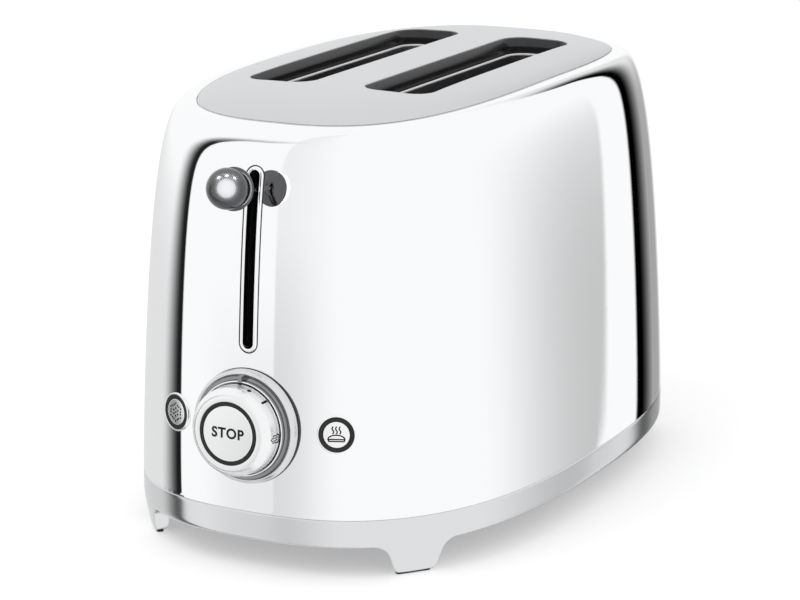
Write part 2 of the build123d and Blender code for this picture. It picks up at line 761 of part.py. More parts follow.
def lever_plane():
    """Plane at the ball's centre, facing out along the lever."""
    tilt = math.radians(LEVER_TILT)
    return Plane(
        origin=(0, BALL_Y, BALL_Z), x_dir=(1, 0, 0), z_dir=(0, -math.cos(tilt), math.sin(tilt))
    )


def finger_height():
    """Height where the lever's centre line meets the end of the finger."""
    reach = -FINGER_END - BALL_Y
    return BALL_Z - reach * math.tan(math.radians(LEVER_TILT))


def lever_stem():
    """Thin round stem from the carriage's finger out to the ball."""
    reach = (-FINGER_END - BALL_Y) / math.cos(math.radians(LEVER_TILT)) + STEM_RADIUS
    stem = disc(STEM_RADIUS, -reach, -BALL_RADIUS, lever_plane())
    return stem - block(-FAR, FAR, -FINGER_END, FAR, 0, FAR)


def lever_ball():
    """Ball with a flared collar behind it."""
    thick = STEM_RADIUS
    front = -COLLAR_BACK + thick
    end = math.acos(front / BALL_RADIUS)
    turns = [end * k / BALL_BANDS for k in range(BALL_BANDS + 1)]
    profile = [(BALL_RADIUS * math.sin(turn), BALL_RADIUS * math.cos(turn)) for turn in turns]
    profile += [
        (COLLAR_RADIUS - thick, front),
        (COLLAR_RADIUS, front - thick / 2),
        (COLLAR_RADIUS, -COLLAR_BACK),
        (STEM_RADIUS + thick, -BALL_RADIUS),
        (0.0, -BALL_RADIUS),
    ]
    return turned(profile, lever_plane())


def bread_rack(side):
    """Stamped rack that carries one slice."""
    x = side * SLOT_CENTRE
    rack = block(
        x - RACK_HALF_WIDTH,
        x + RACK_HALF_WIDTH,
        -RACK_HALF_LENGTH,
        RACK_HALF_LENGTH,
        RACK_TOP - RACK_SHEET,
        RACK_TOP,
    )
    pitch = 2 * RACK_HALF_LENGTH / RACK_WINDOWS
    for index in range(RACK_WINDOWS):
        y = -RACK_HALF_LENGTH + (index + 0.5) * pitch
        for half_side in (-1, 1):
            near = x + half_side * (ARM_THICK / 2 + RACK_SHEET / 2)
            far = x + half_side * (RACK_HALF_WIDTH - RACK_SHEET)
            length = RACK_WINDOW_LENGTH / 2
            rack -= block(near, far, y - length, y + length, 0, FAR)
    return rack


def latch_armature():
    """Steel plate under the cross bar that the magnet holds down."""
    front = CROSSBAR_FRONT - CROSSBAR_SHEET - BLADE_DEPTH
    return block(
        -ARMATURE_HALF,
        ARMATURE_HALF,
        front,
        CROSSBAR_FRONT,
        ARM_BOTTOM - ARMATURE_THICK,
        ARM_BOTTOM,
    )


def magnet_top():
    """Top of the magnet's poles, just under the lowered armature."""
    return ARM_BOTTOM - ARMATURE_THICK - LIFT_TRAVEL - RUN_GAP


def magnet_core():
    """Horseshoe core that stands on the pan."""
    y = ROD_Y
    half_y = MAGNET_DEPTH / 2
    core = block(-MAGNET_HALF, MAGNET_HALF, y - half_y, y + half_y, PAN_TOP, magnet_top())
    window = MAGNET_HALF - POLE_THICK
    base = PAN_TOP + POLE_THICK
    core -= block(-window, window, y - half_y, y + half_y, base, magnet_top())
    return core + block(-POLE_THICK / 2, POLE_THICK / 2, y - half_y, y + half_y, base, magnet_top())


def magnet_coil():
    """Winding on the core's middle leg."""
    base, top = PAN_TOP + POLE_THICK, magnet_top() - RUN_GAP
    y = ROD_Y
    half_y = MAGNET_DEPTH / 2 + POLE_THICK
    winding = block(-COIL_RADIUS, COIL_RADIUS, y - half_y, y + half_y, base, top)
    half_y = MAGNET_DEPTH / 2
    return winding - block(-POLE_THICK / 2, POLE_THICK / 2, y - half_y, y + half_y, 0, FAR)


def guide_rods():
    """Two rods that the carriage slides on."""
    rods = [post(ROD_RADIUS, s * ROD_X, ROD_Y, PAN_TOP, FRAME_LEVEL).solid() for s in (-1, 1)]
    return Compound(children=rods)


def lift_springs():
    """Two springs between the cross bar and the frame, as the tubes they fill."""
    springs = []
    low = ARM_BOTTOM + CROSSBAR_HEIGHT
    y = CROSSBAR_FRONT - SPRING_RADIUS
    for side in (-1, 1):
        x = side * SPRING_X
        tube = post(SPRING_RADIUS, x, y, low, FRAME_LEVEL) - post(SPRING_BORE, x, y, low, FRAME_LEVEL)
        springs.append(tube.solid())
    return Compound(children=springs)


def lever_slot_bezel():
    """Plated rim round the lever slot, following the shell's curve."""
    rim = lever_slot(BEZEL_LIP, -FAR, -FINGER_END) - lever_slot(0.0, -FAR, -FINGER_END)
    return (rim & shell_solid(BEZEL_PROUD)) - OUTSIDE


def lever_guard():
    """Black channel behind the slot that hides the works and steadies the lever."""
    room = shell_solid(-SHELL_WALL, RIM_Z - 2 * RIM_SEAT)
    front = shell_y(0.0, BAND_TOP)
    back = -FINGER_END - RUN_GAP
    channel = lever_slot(GUARD_WALL + RUN_GAP, front, back, GUARD_DROP) & room
    return channel - lever_slot(RUN_GAP, -FAR, -CHAMBER_HALF_LENGTH, GUARD_DROP)


def knob_bezel():
    """Plated dish between the shell and the knob."""
    seat = KNOB_SKIRT_END - RUN_GAP - FIT
    profile = [(DISH_BORE, -DISH_HEIGHT), (DISH_RADIUS, -DISH_HEIGHT)]
    profile += [(DISH_RADIUS - inset, DISH_EDGE + rise) for inset, rise in DISH_RAMP]
    profile += [(KNOB_RADIUS + gap, DISH_HEIGHT - drop) for gap, drop in DISH_LIP]
    profile += [(KNOB_RADIUS + KNOB_CLEAR, seat), (DISH_BORE, seat)]
    return turned(profile, KNOB_PLANE) - OUTSIDE


def knob_hub_end():
    """How deep the knob's hub reaches into the rotary switch."""
    return -(PANEL_Y - BOARD_THICK - SWITCH_DEPTH / 2 - shell_y(0.0, CONTROL_Z))


def browning_knob():
    """Turned knob: bevelled face, printed skirt, recess for the button and a hub."""
    inside = KNOB_RADIUS - KNOB_WALL
    bore = STOP_STEM + FIT
    inset, drop = BEVEL_SHARES
    profile = [
        (KNOB_RADIUS, KNOB_SKIRT_END),
        (KNOB_RADIUS, KNOB_FACE - KNOB_BEVEL),
        (KNOB_RADIUS - inset * KNOB_BEVEL, KNOB_FACE - drop * KNOB_BEVEL),
        (KNOB_RADIUS - KNOB_BEVEL, KNOB_FACE),
        (RING_RADIUS, KNOB_FACE),
        (RING_RADIUS, KNOB_FLOOR),
        (bore, KNOB_FLOOR),
        (bore, knob_hub_end()),
        (HUB_RADIUS, knob_hub_end()),
        (HUB_RADIUS, KNOB_FLOOR - KNOB_WEB),
        (inside, KNOB_FLOOR - KNOB_WEB),
        (inside, KNOB_SKIRT_END),
    ]
    return turned(profile, KNOB_PLANE)


def knob_ring():
    """Dark ring let into the knob round its button."""
    return ring(RING_RADIUS - RING_WIDTH, RING_RADIUS, KNOB_FLOOR, KNOB_FACE + FIT, KNOB_PLANE)


def press_switch_front():
    """How far the press switches stand in front of the control board."""
    return PANEL_Y - BOARD_THICK - PRESS_SWITCH_HALF


def stop_button():
    """Round button in the middle of the knob, on a stem down through the hub."""
    face = KNOB_FACE + 2 * FIT
    tip = -(press_switch_front() - shell_y(0.0, CONTROL_Z)) + STOP_TRAVEL + 2 * RUN_GAP
    cap = disc(RING_RADIUS - RING_WIDTH - STOP_GAP, face - STOP_THICK, face, KNOB_PLANE)
    return cap + disc(STOP_STEM, tip, face - STOP_THICK, KNOB_PLANE)


def button_ring(plane):
    """Dark ring set in the shell round a side button."""
    return ring(BUTTON_RADIUS + 2 * FIT, BUTTON_RING, -BUTTON_CAP, BUTTON_PROUD, plane)


def button_rim(plane):
    """Thin plated rim on the shell round a side button's ring."""
    return ring(BUTTON_RING, BUTTON_RIM, -BUTTON_CAP, BUTTON_PROUD, plane) - OUTSIDE


def side_button(plane):
    """Round side button with a stem to its switch."""
    cap = disc(BUTTON_RADIUS, -BUTTON_CAP, BUTTON_PROUD, plane)
    return cap + disc(BUTTON_STEM, -BUTTON_CAP - BUTTON_STEM_LENGTH, -BUTTON_CAP, plane)


def control_frame():
    """Moulded panel on a foot that carries the control board behind the front end."""
    rear = PANEL_Y + PANEL_FOOT
    frame = block(-PANEL_HALF, PANEL_HALF, PANEL_Y, PANEL_Y + PANEL_SHEET, PAN_TOP, PANEL_TOP)
    frame += block(-PANEL_HALF, PANEL_HALF, PANEL_Y, rear, PAN_TOP, PAN_TOP + PANEL_SHEET)
    for side in SIDES.values():
        x = side * (PANEL_HALF - PANEL_SHEET / 2)
        half = PANEL_SHEET / 2
        frame += block(x - half, x + half, PANEL_Y, rear, PAN_TOP, PAN_TOP + PANEL_FOOT)
    return frame


def control_board():
    """Circuit board on the front of the control frame."""
    return block(-PANEL_HALF, PANEL_HALF, PANEL_Y - BOARD_THICK, PANEL_Y, BOARD_BOTTOM, PANEL_TOP)


def rotary_switch():
    """Switch that the knob's hub turns in, on the board."""
    face = PANEL_Y - BOARD_THICK
    body = block(
        -SWITCH_HALF,
        SWITCH_HALF,
        face - SWITCH_DEPTH,
        face,
        CONTROL_Z - SWITCH_HALF,
        CONTROL_Z + SWITCH_HALF,
    )
    return body - disc(HUB_RADIUS + FIT, -FAR, 0, KNOB_PLANE)


def press_switches():
    """Three small switches on the board, each square to its own button."""
    face = PANEL_Y - BOARD_THICK
    half = PRESS_SWITCH_HALF
    centre = Vector(KNOB_PLANE.origin) - KNOB_PLANE.z_dir * (face - KNOB_PLANE.origin.Y)
    radius = HUB_RADIUS - 4 * FIT
    switches = [
        (
            Pos(0, face - half / 2, centre.Z) * Rot(90, 0, 0) * Cylinder(radius / 2, half)
        ).solid()
    ]
    for plane in BUTTON_PLANES.values():
        reach = BUTTON_CAP + BUTTON_STEM_LENGTH + BUTTON_TRAVEL + RUN_GAP
        tip = plane.origin - plane.z_dir * reach
        column = block(
            tip.X - half, tip.X + half, tip.Y - 2 * half, face, CONTROL_Z - half, CONTROL_Z + half
        )
        column -= plane * block(-FAR, FAR, -FAR, FAR, -reach, FAR)
        switches.append(column.solid())
    return Compound(children=switches)


def terminal_block():
    """Block on the pan, on the far side from the cord, where the mains leads end."""
    return block(
        -CORD_X - BLOCK_HALF_X,
        -CORD_X + BLOCK_HALF_X,
        CORD_Y - BLOCK_HALF_Y,
        CORD_Y + BLOCK_HALF_Y,
        PAN_TOP,
        PAN_TOP + BLOCK_HEIGHT,
    )


def all_parts():
    """Every node of the toaster by name."""
    parts = {
        "body_shell": body_shell(),
        "top_plate": top_plate(),
        "chamber_top_frame": chamber_top_frame(),
        "base_band": base_band(),
        "foot_pads": foot_pads(),
        "base_pan": base_pan(),
        "cord_grommet": cord_grommet(),
        "base_screws": base_screws(),
        "crumb_tray": crumb_tray(),
        "tray_handle": tray_handle(),
        "front_end_plate": end_plate(-1),
        "rear_end_plate": end_plate(1),
        "guide_pivots": guide_pivots(),
        "carriage_bracket": carriage_bracket(),
        "lever_stem": lever_stem(),
        "lever_ball": lever_ball(),
        "latch_armature": latch_armature(),
        "magnet_core": magnet_core(),
        "magnet_coil": magnet_coil(),
        "guide_rods": guide_rods(),
        "lift_springs": lift_springs(),
        "lever_slot_bezel": lever_slot_bezel(),
        "lever_guard": lever_guard(),
        "knob_bezel": knob_bezel(),
        "browning_knob": browning_knob(),
        "knob_ring": knob_ring(),
        "stop_button": stop_button(),
        "control_frame": control_frame(),
        "control_board": control_board(),
        "rotary_switch": rotary_switch(),
        "press_switches": press_switches(),
        "terminal_block": terminal_block(),
    }
    for name, side in SIDES.items():
        parts[f"slot_liner_{name}"] = slot_liner(side)
        parts[f"reflector_{name}"] = reflector(side)
        parts[f"bread_rack_{name}"] = bread_rack(side)
    for name, plane in BUTTON_PLANES.items():
        parts[f"{name}_button"] = side_button(plane)
        parts[f"{name}_ring"] = button_ring(plane)
        parts[f"{name}_rim"] = button_rim(plane)
    for number, (x, inward) in enumerate(heater_places(), 1):
        parts[f"heater_board_{number}"] = heater_board(x)
        parts[f"heater_ribbon_{number}"] = heater_ribbon(x, inward)
    for number, (x, _) in enumerate(guide_places(), 1):
        parts[f"bread_guide_{number}"] = bread_guide(x)
    return parts


if __name__ == "__main__":
    os.makedirs("parts", exist_ok=True)
    for node, part in all_parts().items():
        export_step(part, f"parts/{node}.step")
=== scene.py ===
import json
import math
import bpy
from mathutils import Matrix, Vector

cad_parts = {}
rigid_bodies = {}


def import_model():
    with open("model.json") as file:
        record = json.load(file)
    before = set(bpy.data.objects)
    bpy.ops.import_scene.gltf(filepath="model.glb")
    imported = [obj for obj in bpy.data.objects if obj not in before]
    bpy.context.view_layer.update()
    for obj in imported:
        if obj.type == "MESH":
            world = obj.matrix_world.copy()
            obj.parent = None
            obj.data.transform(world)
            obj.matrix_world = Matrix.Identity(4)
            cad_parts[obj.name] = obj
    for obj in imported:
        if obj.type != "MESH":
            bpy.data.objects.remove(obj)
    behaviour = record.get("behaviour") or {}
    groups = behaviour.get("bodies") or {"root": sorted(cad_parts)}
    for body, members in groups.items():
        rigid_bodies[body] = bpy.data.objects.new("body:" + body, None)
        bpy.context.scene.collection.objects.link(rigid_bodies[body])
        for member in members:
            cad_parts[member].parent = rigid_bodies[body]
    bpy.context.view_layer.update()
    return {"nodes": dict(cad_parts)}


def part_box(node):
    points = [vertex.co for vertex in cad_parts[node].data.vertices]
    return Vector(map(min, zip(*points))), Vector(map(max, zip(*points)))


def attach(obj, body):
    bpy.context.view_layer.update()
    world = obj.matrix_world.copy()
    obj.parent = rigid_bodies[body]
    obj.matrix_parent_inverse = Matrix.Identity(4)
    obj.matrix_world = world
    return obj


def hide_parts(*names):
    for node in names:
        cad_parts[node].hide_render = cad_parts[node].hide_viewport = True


bl_info = {
    "name": "Rounded Metal Toaster",
    "version": (1, 0, 0),
    "blender": (4, 5, 0),
    "location": "View3D > Sidebar > Toaster",
    "description": "Dresses the toaster's frame with smooth plating, satin metal and its dials",
    "category": "Object",
}

import bmesh
import bpy
from bpy.props import FloatProperty, FloatVectorProperty, IntProperty, PointerProperty
from mathutils import Matrix, Vector

for leftover in list(bpy.data.objects):
    bpy.data.objects.remove(leftover)
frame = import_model()

SIDES = {"left": -1, "right": 1}
BUTTONS = {"defrost": -1, "bun": 1}
FOOT_SIGNS = [(sx, sy) for sx in (-1, 1) for sy in (-1, 1)]
QUARTER = math.pi / 2
FINE_EDGE = 0.0002
EDGE = 0.0003
SOFT_EDGE = 0.0004
KNOB_TAPER = 0.0006
SIGN_GAP = 0.00003
DOT = 0.00006


def length(name, default, description):
    """Size in metres that a user may change."""
    return FloatProperty(
        name=name, description=description, default=default, unit="LENGTH", precision=5
    )


def plain(name, default, description):
    """Number without a unit."""
    return FloatProperty(name=name, description=description, default=default, precision=3)


def angle(name, degrees, description):
    """Angle that the editor shows in degrees."""
    return FloatProperty(
        name=name, description=description, default=math.radians(degrees), unit="ROTATION"
    )


def colour(name, grey_or_rgb, description):
    """Colour of a finish."""
    rgb = grey_or_rgb if isinstance(grey_or_rgb, tuple) else (grey_or_rgb,) * 3
    return FloatVectorProperty(
        name=name, description=description, default=rgb, subtype="COLOR", size=3, min=0.0, max=1.0
    )


class ToasterBodySizes(bpy.types.PropertyGroup):
    """Sizes of the plated body, its band, its feet and its top."""

    base_half_width: length("Base half width", 0.09705, "Half the body's width at the band")
    base_half_length: length("Base half length", 0.156, "Half the body's length at the band")
    base_curve: plain("Base curve", 2.64, "Power of the outline at the band")
    crown_half_width: length("Crown half width", 0.0694, "Half the shell's width at its rim")
    crown_half_length: length("Crown half length", 0.13055, "Half the shell's length at its rim")
    crown_curve: plain("Crown curve", 2.88, "Power of the outline at the rim")
    wall_lean: plain("Wall lean", 1.24, "Power that leans the wall inwards")
    shoulder: plain("Shoulder", 3.36, "Power that rounds the shoulder")
    band_top: length("Band top", 0.0261, "Height of the seam between band and shell")
    band_bottom: length("Band bottom", 0.0138, "Height of the band's lower edge")
    rim_height: length("Rim height", 0.1912, "Height of the shell's rim")
    body_height: length("Body height", 0.198, "Height of the top plate's middle")
    wall: length("Wall", 0.0012, "Thickness of the shell")
    plate_gap: length("Plate gap", 0.0007, "Gap between the shell's rim and the top plate")
    plate_drop: length("Plate drop", 0.0068, "How far the plate's edge lies below its middle")
    arch: length("Arch", 0.0037, "How much higher the rim lies halfway along the body")
    arch_sink: length("Arch sink", 0.0006, "How far the rim lies lower at the ends")
    plate_roll: plain("Plate roll", 8.3, "Power that rolls the plate's edge down")
    slot_centre: length("Slot centre", 0.02887, "Distance of each bread slot from the middle")
    slot_half_width: length("Slot half width", 0.01655, "Half a bread slot's width")
    slot_half_length: length("Slot half length", 0.07845, "Half a bread slot's length")
    slot_corner: length("Slot corner", 0.0105, "Radius of a bread slot's corners")
    liner_wall: length("Liner wall", 0.0014, "Thickness of the slot liners")
    liner_sink: length("Liner sink", 0.0006, "How far the liners stay below the plate")
    frame_level: length("Frame level", 0.184, "Underside of the steel frame over the chambers")
    frame_sheet: length("Frame sheet", 0.0012, "Thickness of that frame")
    throat_inset: length("Throat inset", 0.0034, "How far a throat lies inside its slot")
    throat_depth: length("Throat depth", 0.011, "How far a throat turns down")
    throat_sheet: length("Throat sheet", 0.001, "Thickness of a throat")
    bead_height: length("Bead height", 0.0046, "Height of the bead round a throat")
    foot_x: length("Foot place", 0.0682, "Distance of each foot from the long middle line")
    foot_half: length("Foot half width", 0.0095, "Half the width of a foot at the table")
    foot_flare: length("Foot flare", 0.0044, "How far a foot widens up to the band")
    foot_inset: length("Foot inset", 0.00265, "How far a foot leans in at the table")
    foot_root: length("Foot root", 0.008, "Radius where a foot leaves the band")
    foot_toe: length("Foot toe", 0.0025, "Radius at a foot's toes")
    foot_depth: length("Foot depth", 0.008, "Depth of the band's flange and the feet")
    pad: length("Pad", 0.0007, "Thickness of the rubber pads")
    pad_half: length("Pad half width", 0.0016, "Half the width of a pad across the band")
    seam: length("Seam", 0.0005, "Radius of the shell's lower edge")
    rim_lip: length("Rim lip", 0.0006, "Radius of the shell's rim and the band's upper edge")
    rim_flange: length("Rim flange", 0.008, "Width of the shell's flange under the plate")
    band_sole: length("Band sole", 0.0009, "Radius of the band's lower edge")
    plate_edge: length("Plate edge", 0.0005, "Radius of the plate's edge")
    slot_edge: length("Slot edge", 0.00028, "Width of the broken edge round a bread slot")


class ToasterControlSizes(bpy.types.PropertyGroup):
    """Sizes of the lever, the knob and the buttons."""

    control_height: length("Control height", 0.064, "Height of the knob and the buttons")
    slot_low: length("Lever slot bottom", 0.0974, "Lower end of the lever's slot")
    slot_high: length("Lever slot top", 0.1727, "Upper end of the lever's slot")
    slot_half: length("Lever slot half width", 0.00245, "Half the width of the lever's slot")
    bezel_lip: length("Bezel lip", 0.00185, "Width of the plated rim round the slot")
    bezel_proud: length("Bezel height", 0.0008, "Height of that rim over the shell")
    ball_radius: length("Ball radius", 0.00874, "Radius of the lever's ball")
    ball_y: length("Ball reach", -0.168, "Where the ball's centre lies along the toaster")
    ball_z: length("Ball height", 0.1693, "Height of the ball's centre")
    collar_radius: length("Collar radius", 0.0092, "Radius of the flare behind the ball")
    collar_back: length("Collar place", 0.006, "How far that flare lies behind the centre")
    stem_radius: length("Stem radius", 0.00135, "Radius of the lever's stem")
    lever_tilt: angle("Lever tilt", 12.0, "How far the lever leans up")
    knob_radius: length("Knob radius", 0.0197, "Radius of the browning knob")
    knob_face: length("Knob face", 0.016, "Height of the knob's face over the shell")
    knob_back: length("Knob back", 0.0059, "Height of the knob's rear edge over the shell")
    knob_bevel: length("Knob bevel", 0.0031, "Width of the knob's bevelled edge")
    ring_radius: length("Ring radius", 0.0137, "Outer radius of the dark ring")
    ring_width: length("Ring width", 0.0015, "Width of the dark ring")
    knob_wall: length("Knob wall", 0.002, "Thickness of the knob's skirt and floor")
    shaft_bore: length("Shaft bore", 0.0027, "Radius of the bore down the knob's shaft")
    shaft_radius: length("Shaft radius", 0.005, "Radius of the knob's shaft")
    shaft_length: length("Shaft length", 0.030, "How far the knob's shaft reaches back")
    knob_floor: length("Knob floor", 0.0122, "Height of the recess's floor over the shell")
    dish_radius: length("Dish radius", 0.0250, "Radius of the plated dish")
    dish_bore: length("Dish bore", 0.012, "Radius of the hole in the dish")
    defrost_x: length("Defrost place", -0.0380, "Place of the defrost button beside the knob")
    bun_x: length("Bun place", 0.0400, "Place of the bun button beside the knob")
    defrost_drop: length("Defrost drop", 0.0005, "How far that button lies below the knob's axis")
    button_radius: length("Button radius", 0.00575, "Radius of a side button")
    button_ring: length("Button ring", 0.0076, "Outer radius of a side button's dark ring")
    button_rim: length("Button rim", 0.0084, "Outer radius of a side button's plated rim")
    button_proud: length("Button height", 0.0007, "Height of a side button over the shell")
    button_depth: length("Button depth", 0.003, "Depth of a side button's cap")


class ToasterFinishes(bpy.types.PropertyGroup):
    """Colours of the toaster's finishes."""

    plating: colour("Plating", (0.945, 0.95, 0.96), "Mirror plating of shell and trims")
    satin: colour("Satin plate", (0.66, 0.668, 0.682), "Fine satin of the top plate")
    band: colour("Satin band", (0.74, 0.745, 0.755), "Satin of the base band and feet")
    knob: colour("Knob", (0.92, 0.925, 0.93), "Bright satin of knob and buttons")
    # Painted reflection: this dark base colour stands in for the dark surroundings that the metal
    # ball reflects.
    ball: colour("Ball", (0.06, 0.061, 0.064), "Dark satin of the lever's ball")
    steel: colour("Steel", (0.42, 0.42, 0.425), "Plain steel of the inner works")
    # Also the colour of the painted shadow line round the knob's dish and of the thin dark ring
    # along the lever rim's edge.
    ring: colour("Dark ring", 0.028, "Dark grey of the control rings")
    # Painted shade: the collar is darkened so that the lever's back, seen mirrored in the knob,
    # looks shaded.
    collar: colour("Collar", (0.12, 0.12, 0.124), "Dark polish of the lever's collar")
    # Painted shade: the cove's grey stands in for the knob's shaded side mirrored in the plated
    # dish; the index bar shares this grey.
    cove: colour("Cove", (0.30, 0.303, 0.31), "Grey metal in the dish's cove")
    dish: colour("Dish", (0.74, 0.745, 0.755), "Plating of the knob's dish")
    # Painted highlight: light colour given to the throats' rolled crests, which are the same steel
    # as the throats.
    bead: colour("Bead", (0.86, 0.86, 0.87), "Light bead round the throats")
    print_ink: colour("Ink", 0.012, "Dark grey of the printed signs")
    black: colour("Black plastic", 0.012, "Black of the liners and the pan")
    rubber: colour("Rubber", 0.02, "Black of the pads and the grommet")
    board: colour("Circuit board", (0.03, 0.16, 0.07), "Green of the control board")
    copper: colour("Winding", (0.55, 0.22, 0.08), "Copper of the magnet's winding")
    mica: colour("Mica", (0.42, 0.34, 0.22), "Pressed mica of the heater boards")
    ribbon: colour("Ribbon", (0.20, 0.18, 0.165), "Dull alloy of the heating ribbons")
    pale: colour("Pale plastic", (0.62, 0.60, 0.55), "Plastic of the terminal block")


class ToasterStudio(bpy.types.PropertyGroup):
    """Camera, lamps and floor."""

    azimuth: angle("Camera azimuth", 27.22, "Turn of the camera from the front end")
    elevation: angle("Camera elevation", 14.08, "Rise of the camera")
    distance: length("Camera distance", 1.354, "Distance of the camera from its target")
    target_height: length("Target height", 0.095, "Height of the camera's target")
    lens: plain("Lens", 130.38, "Focal length in millimetres")
    shift_x: plain("Shift X", -0.0175, "Sideways shift of the frame")
    shift_y: plain("Shift Y", -0.0304, "Upward shift of the frame")
    sky: plain("Sky", 0.86, "Strength of the white surroundings on matt surfaces")
    key: plain("Key lamp", 7.0, "Power of the key lamp in watts")
    glow: plain("Floor glow", 0.38, "How much light the floor adds for the camera")
    floor_size: length("Floor size", 12.0, "Width of the floor")
    around: IntProperty(name="Columns", description="Columns round the shell", default=224)


def body_sizes():
    return bpy.context.scene.toaster_body


def control_sizes():
    return bpy.context.scene.toaster_controls


def spread_at(body, z):
    """Share of the way from the rim's size out to the base's size at a height."""
    rise = min(max((z - body.band_top) / (body.rim_height - body.band_top), 0.0), 1.0)
    return (1.0 - rise**body.wall_lean) ** (1.0 / body.shoulder)


def arched(body, y, z):
    """Raises a height of the level form to the arched one, fully so at the rim."""
    along = min(abs(y) / body.crown_half_length, 1.0)
    lift = body.arch * (1.0 - along**2) - body.arch_sink
    rise = max((z - body.band_top) / (body.rim_height - body.band_top), 0.0)
    return z + lift * rise**10


def section_of(body, spread):
    """Half width, half length and power of the outline for a spread."""
    half_x = body.crown_half_width + (body.base_half_width - body.crown_half_width) * spread
    half_y = body.crown_half_length + (body.base_half_length - body.crown_half_length) * spread
    return half_x, half_y, body.crown_curve + (body.base_curve - body.crown_curve) * spread


def on_outline(half_x, half_y, curve, turn):
    """Point of a superellipse."""
    cosine, sine = math.cos(turn), math.sin(turn)
    x = half_x * math.copysign(abs(cosine) ** (2 / curve), cosine)
    y = half_y * math.copysign(abs(sine) ** (2 / curve), sine)
    return x, y


def evenly(place, start, end, count, samples=4000):
    """Parameters that split a path into steps of equal length."""
    values = [start + (end - start) * i / samples for i in range(samples + 1)]
    points = [Vector(place(value)) for value in values]
    run = [0.0]
    for before, after in zip(points, points[1:]):
        run.append(run[-1] + (after - before).length)
    steps, index = [], 0
    for k in range(count + 1):
        goal = run[-1] * k / count
        while index < samples - 1 and run[index + 1] < goal:
            index += 1
        gap = run[index + 1] - run[index]
        share = (goal - run[index]) / gap if gap > 0 else 0.0
        steps.append(values[index] + (values[index + 1] - values[index]) * share)
    return steps


def outline_turns(body, count):
    """Turns that space points evenly round the base outline, the same in each quarter."""
    size = section_of(body, 1.0)
    quarter = evenly(lambda t: on_outline(*size, t), 0.0, QUARTER, count // 4)
    turns = []
    for k in range(4):
        turns += [
            (quarter[i] if k % 2 == 0 else QUARTER - quarter[count // 4 - i]) + k * QUARTER
            for i in range(count // 4)
        ]
    return turns + [2 * math.pi]


def wall_point(body, phase):
    """Spread and height of the wall for a phase that runs from the band to the rim."""
    spread = abs(math.cos(phase)) ** (2 / body.shoulder)
    rise = abs(math.sin(phase)) ** (2 / body.wall_lean)
    return spread, body.band_top + (body.rim_height - body.band_top) * rise


def wall_levels(body, count):
    """Spreads and heights that space the shell's rings evenly up its wall."""

    def place(phase):
        spread, z = wall_point(body, phase)
        return section_of(body, spread)[0], z, 0.0

    return [wall_point(body, phase) for phase in evenly(place, 0.0, QUARTER, count)]


def shell_value(body, point):
    """Below zero inside the shell's outer form and above zero outside."""
    level = point.z
    for _ in range(12):
        level += point.z - arched(body, point.y, level)
    half_x, half_y, curve = section_of(body, spread_at(body, level))
    return (abs(point.x) / half_x) ** curve + (abs(point.y) / half_y) ** curve - 1.0


def shell_normal(body, point):
    """Direction square out of the shell."""
    step = 2e-5
    slopes = []
    for axis in range(3):
        offset = Vector((0, 0, 0))
        offset[axis] = step
        slopes.append(shell_value(body, point + offset) - shell_value(body, point - offset))
    return Vector(slopes).normalized()


def shell_front(body, x, z):
    """Where the shell's front lies."""
    half_x, half_y, curve = section_of(body, spread_at(body, z))
    return -half_y * (1 - (abs(x) / half_x) ** curve) ** (1 / curve)


def control_matrix(x, z):
    """Placement on the shell's front with Z square out of it and Y upwards."""
    body = body_sizes()
    point = Vector((x, shell_front(body, x, z), z))
    normal = shell_normal(body, point)
    right = Vector((0, 0, 1)).cross(normal).normalized()
    upward = normal.cross(right)
    turn = Matrix((right, upward, normal)).transposed().to_4x4()
    return Matrix.Translation(point) @ turn


def button_matrix(controls, side):
    """Placement of a side button on the shell's front."""
    if side < 0:
        return control_matrix(controls.defrost_x, controls.control_height - controls.defrost_drop)
    return control_matrix(controls.bun_x, controls.control_height)


def mapped_grid(columns, rows, place):
    """Grid whose corners are moved to places given by their column and row."""
    mesh = bmesh.new()
    bmesh.ops.create_grid(mesh, x_segments=columns, y_segments=rows, size=1.0)
    for vert in mesh.verts:
        column = round((vert.co.x + 1) / 2 * columns)
        row = round((vert.co.y + 1) / 2 * rows)
        vert.co = place(column, row)
    bmesh.ops.remove_doubles(mesh, verts=mesh.verts, dist=1e-6)
    flat = [face for face in mesh.faces if face.calc_area() < 1e-13]
    bmesh.ops.delete(mesh, geom=flat, context="FACES")
    bmesh.ops.recalc_face_normals(mesh, faces=mesh.faces)
    return mesh


def rounded(points, steps=5):
    """Profile whose corners with a radius, given as a third number, are rounded off."""
    made = []
    count = len(points)
    for index, (x, y, *rest) in enumerate(points):
        radius = rest[0] if rest else 0.0
        here = Vector((x, y))
        if radius <= 0.0 or index in (0, count - 1) and not rest:
            made.append((x, y))
            continue
        before = Vector(points[index - 1][:2])
        after = Vector(points[(index + 1) % count][:2])
        into, out = (before - here).normalized(), (after - here).normalized()
        half = into.angle(out) / 2
        reach = radius / math.tan(half)
        middle = here + (into + out).normalized() * (radius / math.sin(half))
        start = here + into * reach - middle
        end = here + out * reach - middle
        sweep = start.angle(end)
        for step in range(steps + 1):
            share = step / steps
            point = (
                start * math.sin((1 - share) * sweep) + end * math.sin(share * sweep)
            ) / math.sin(sweep)
            made.append(tuple(middle + point))
    return made


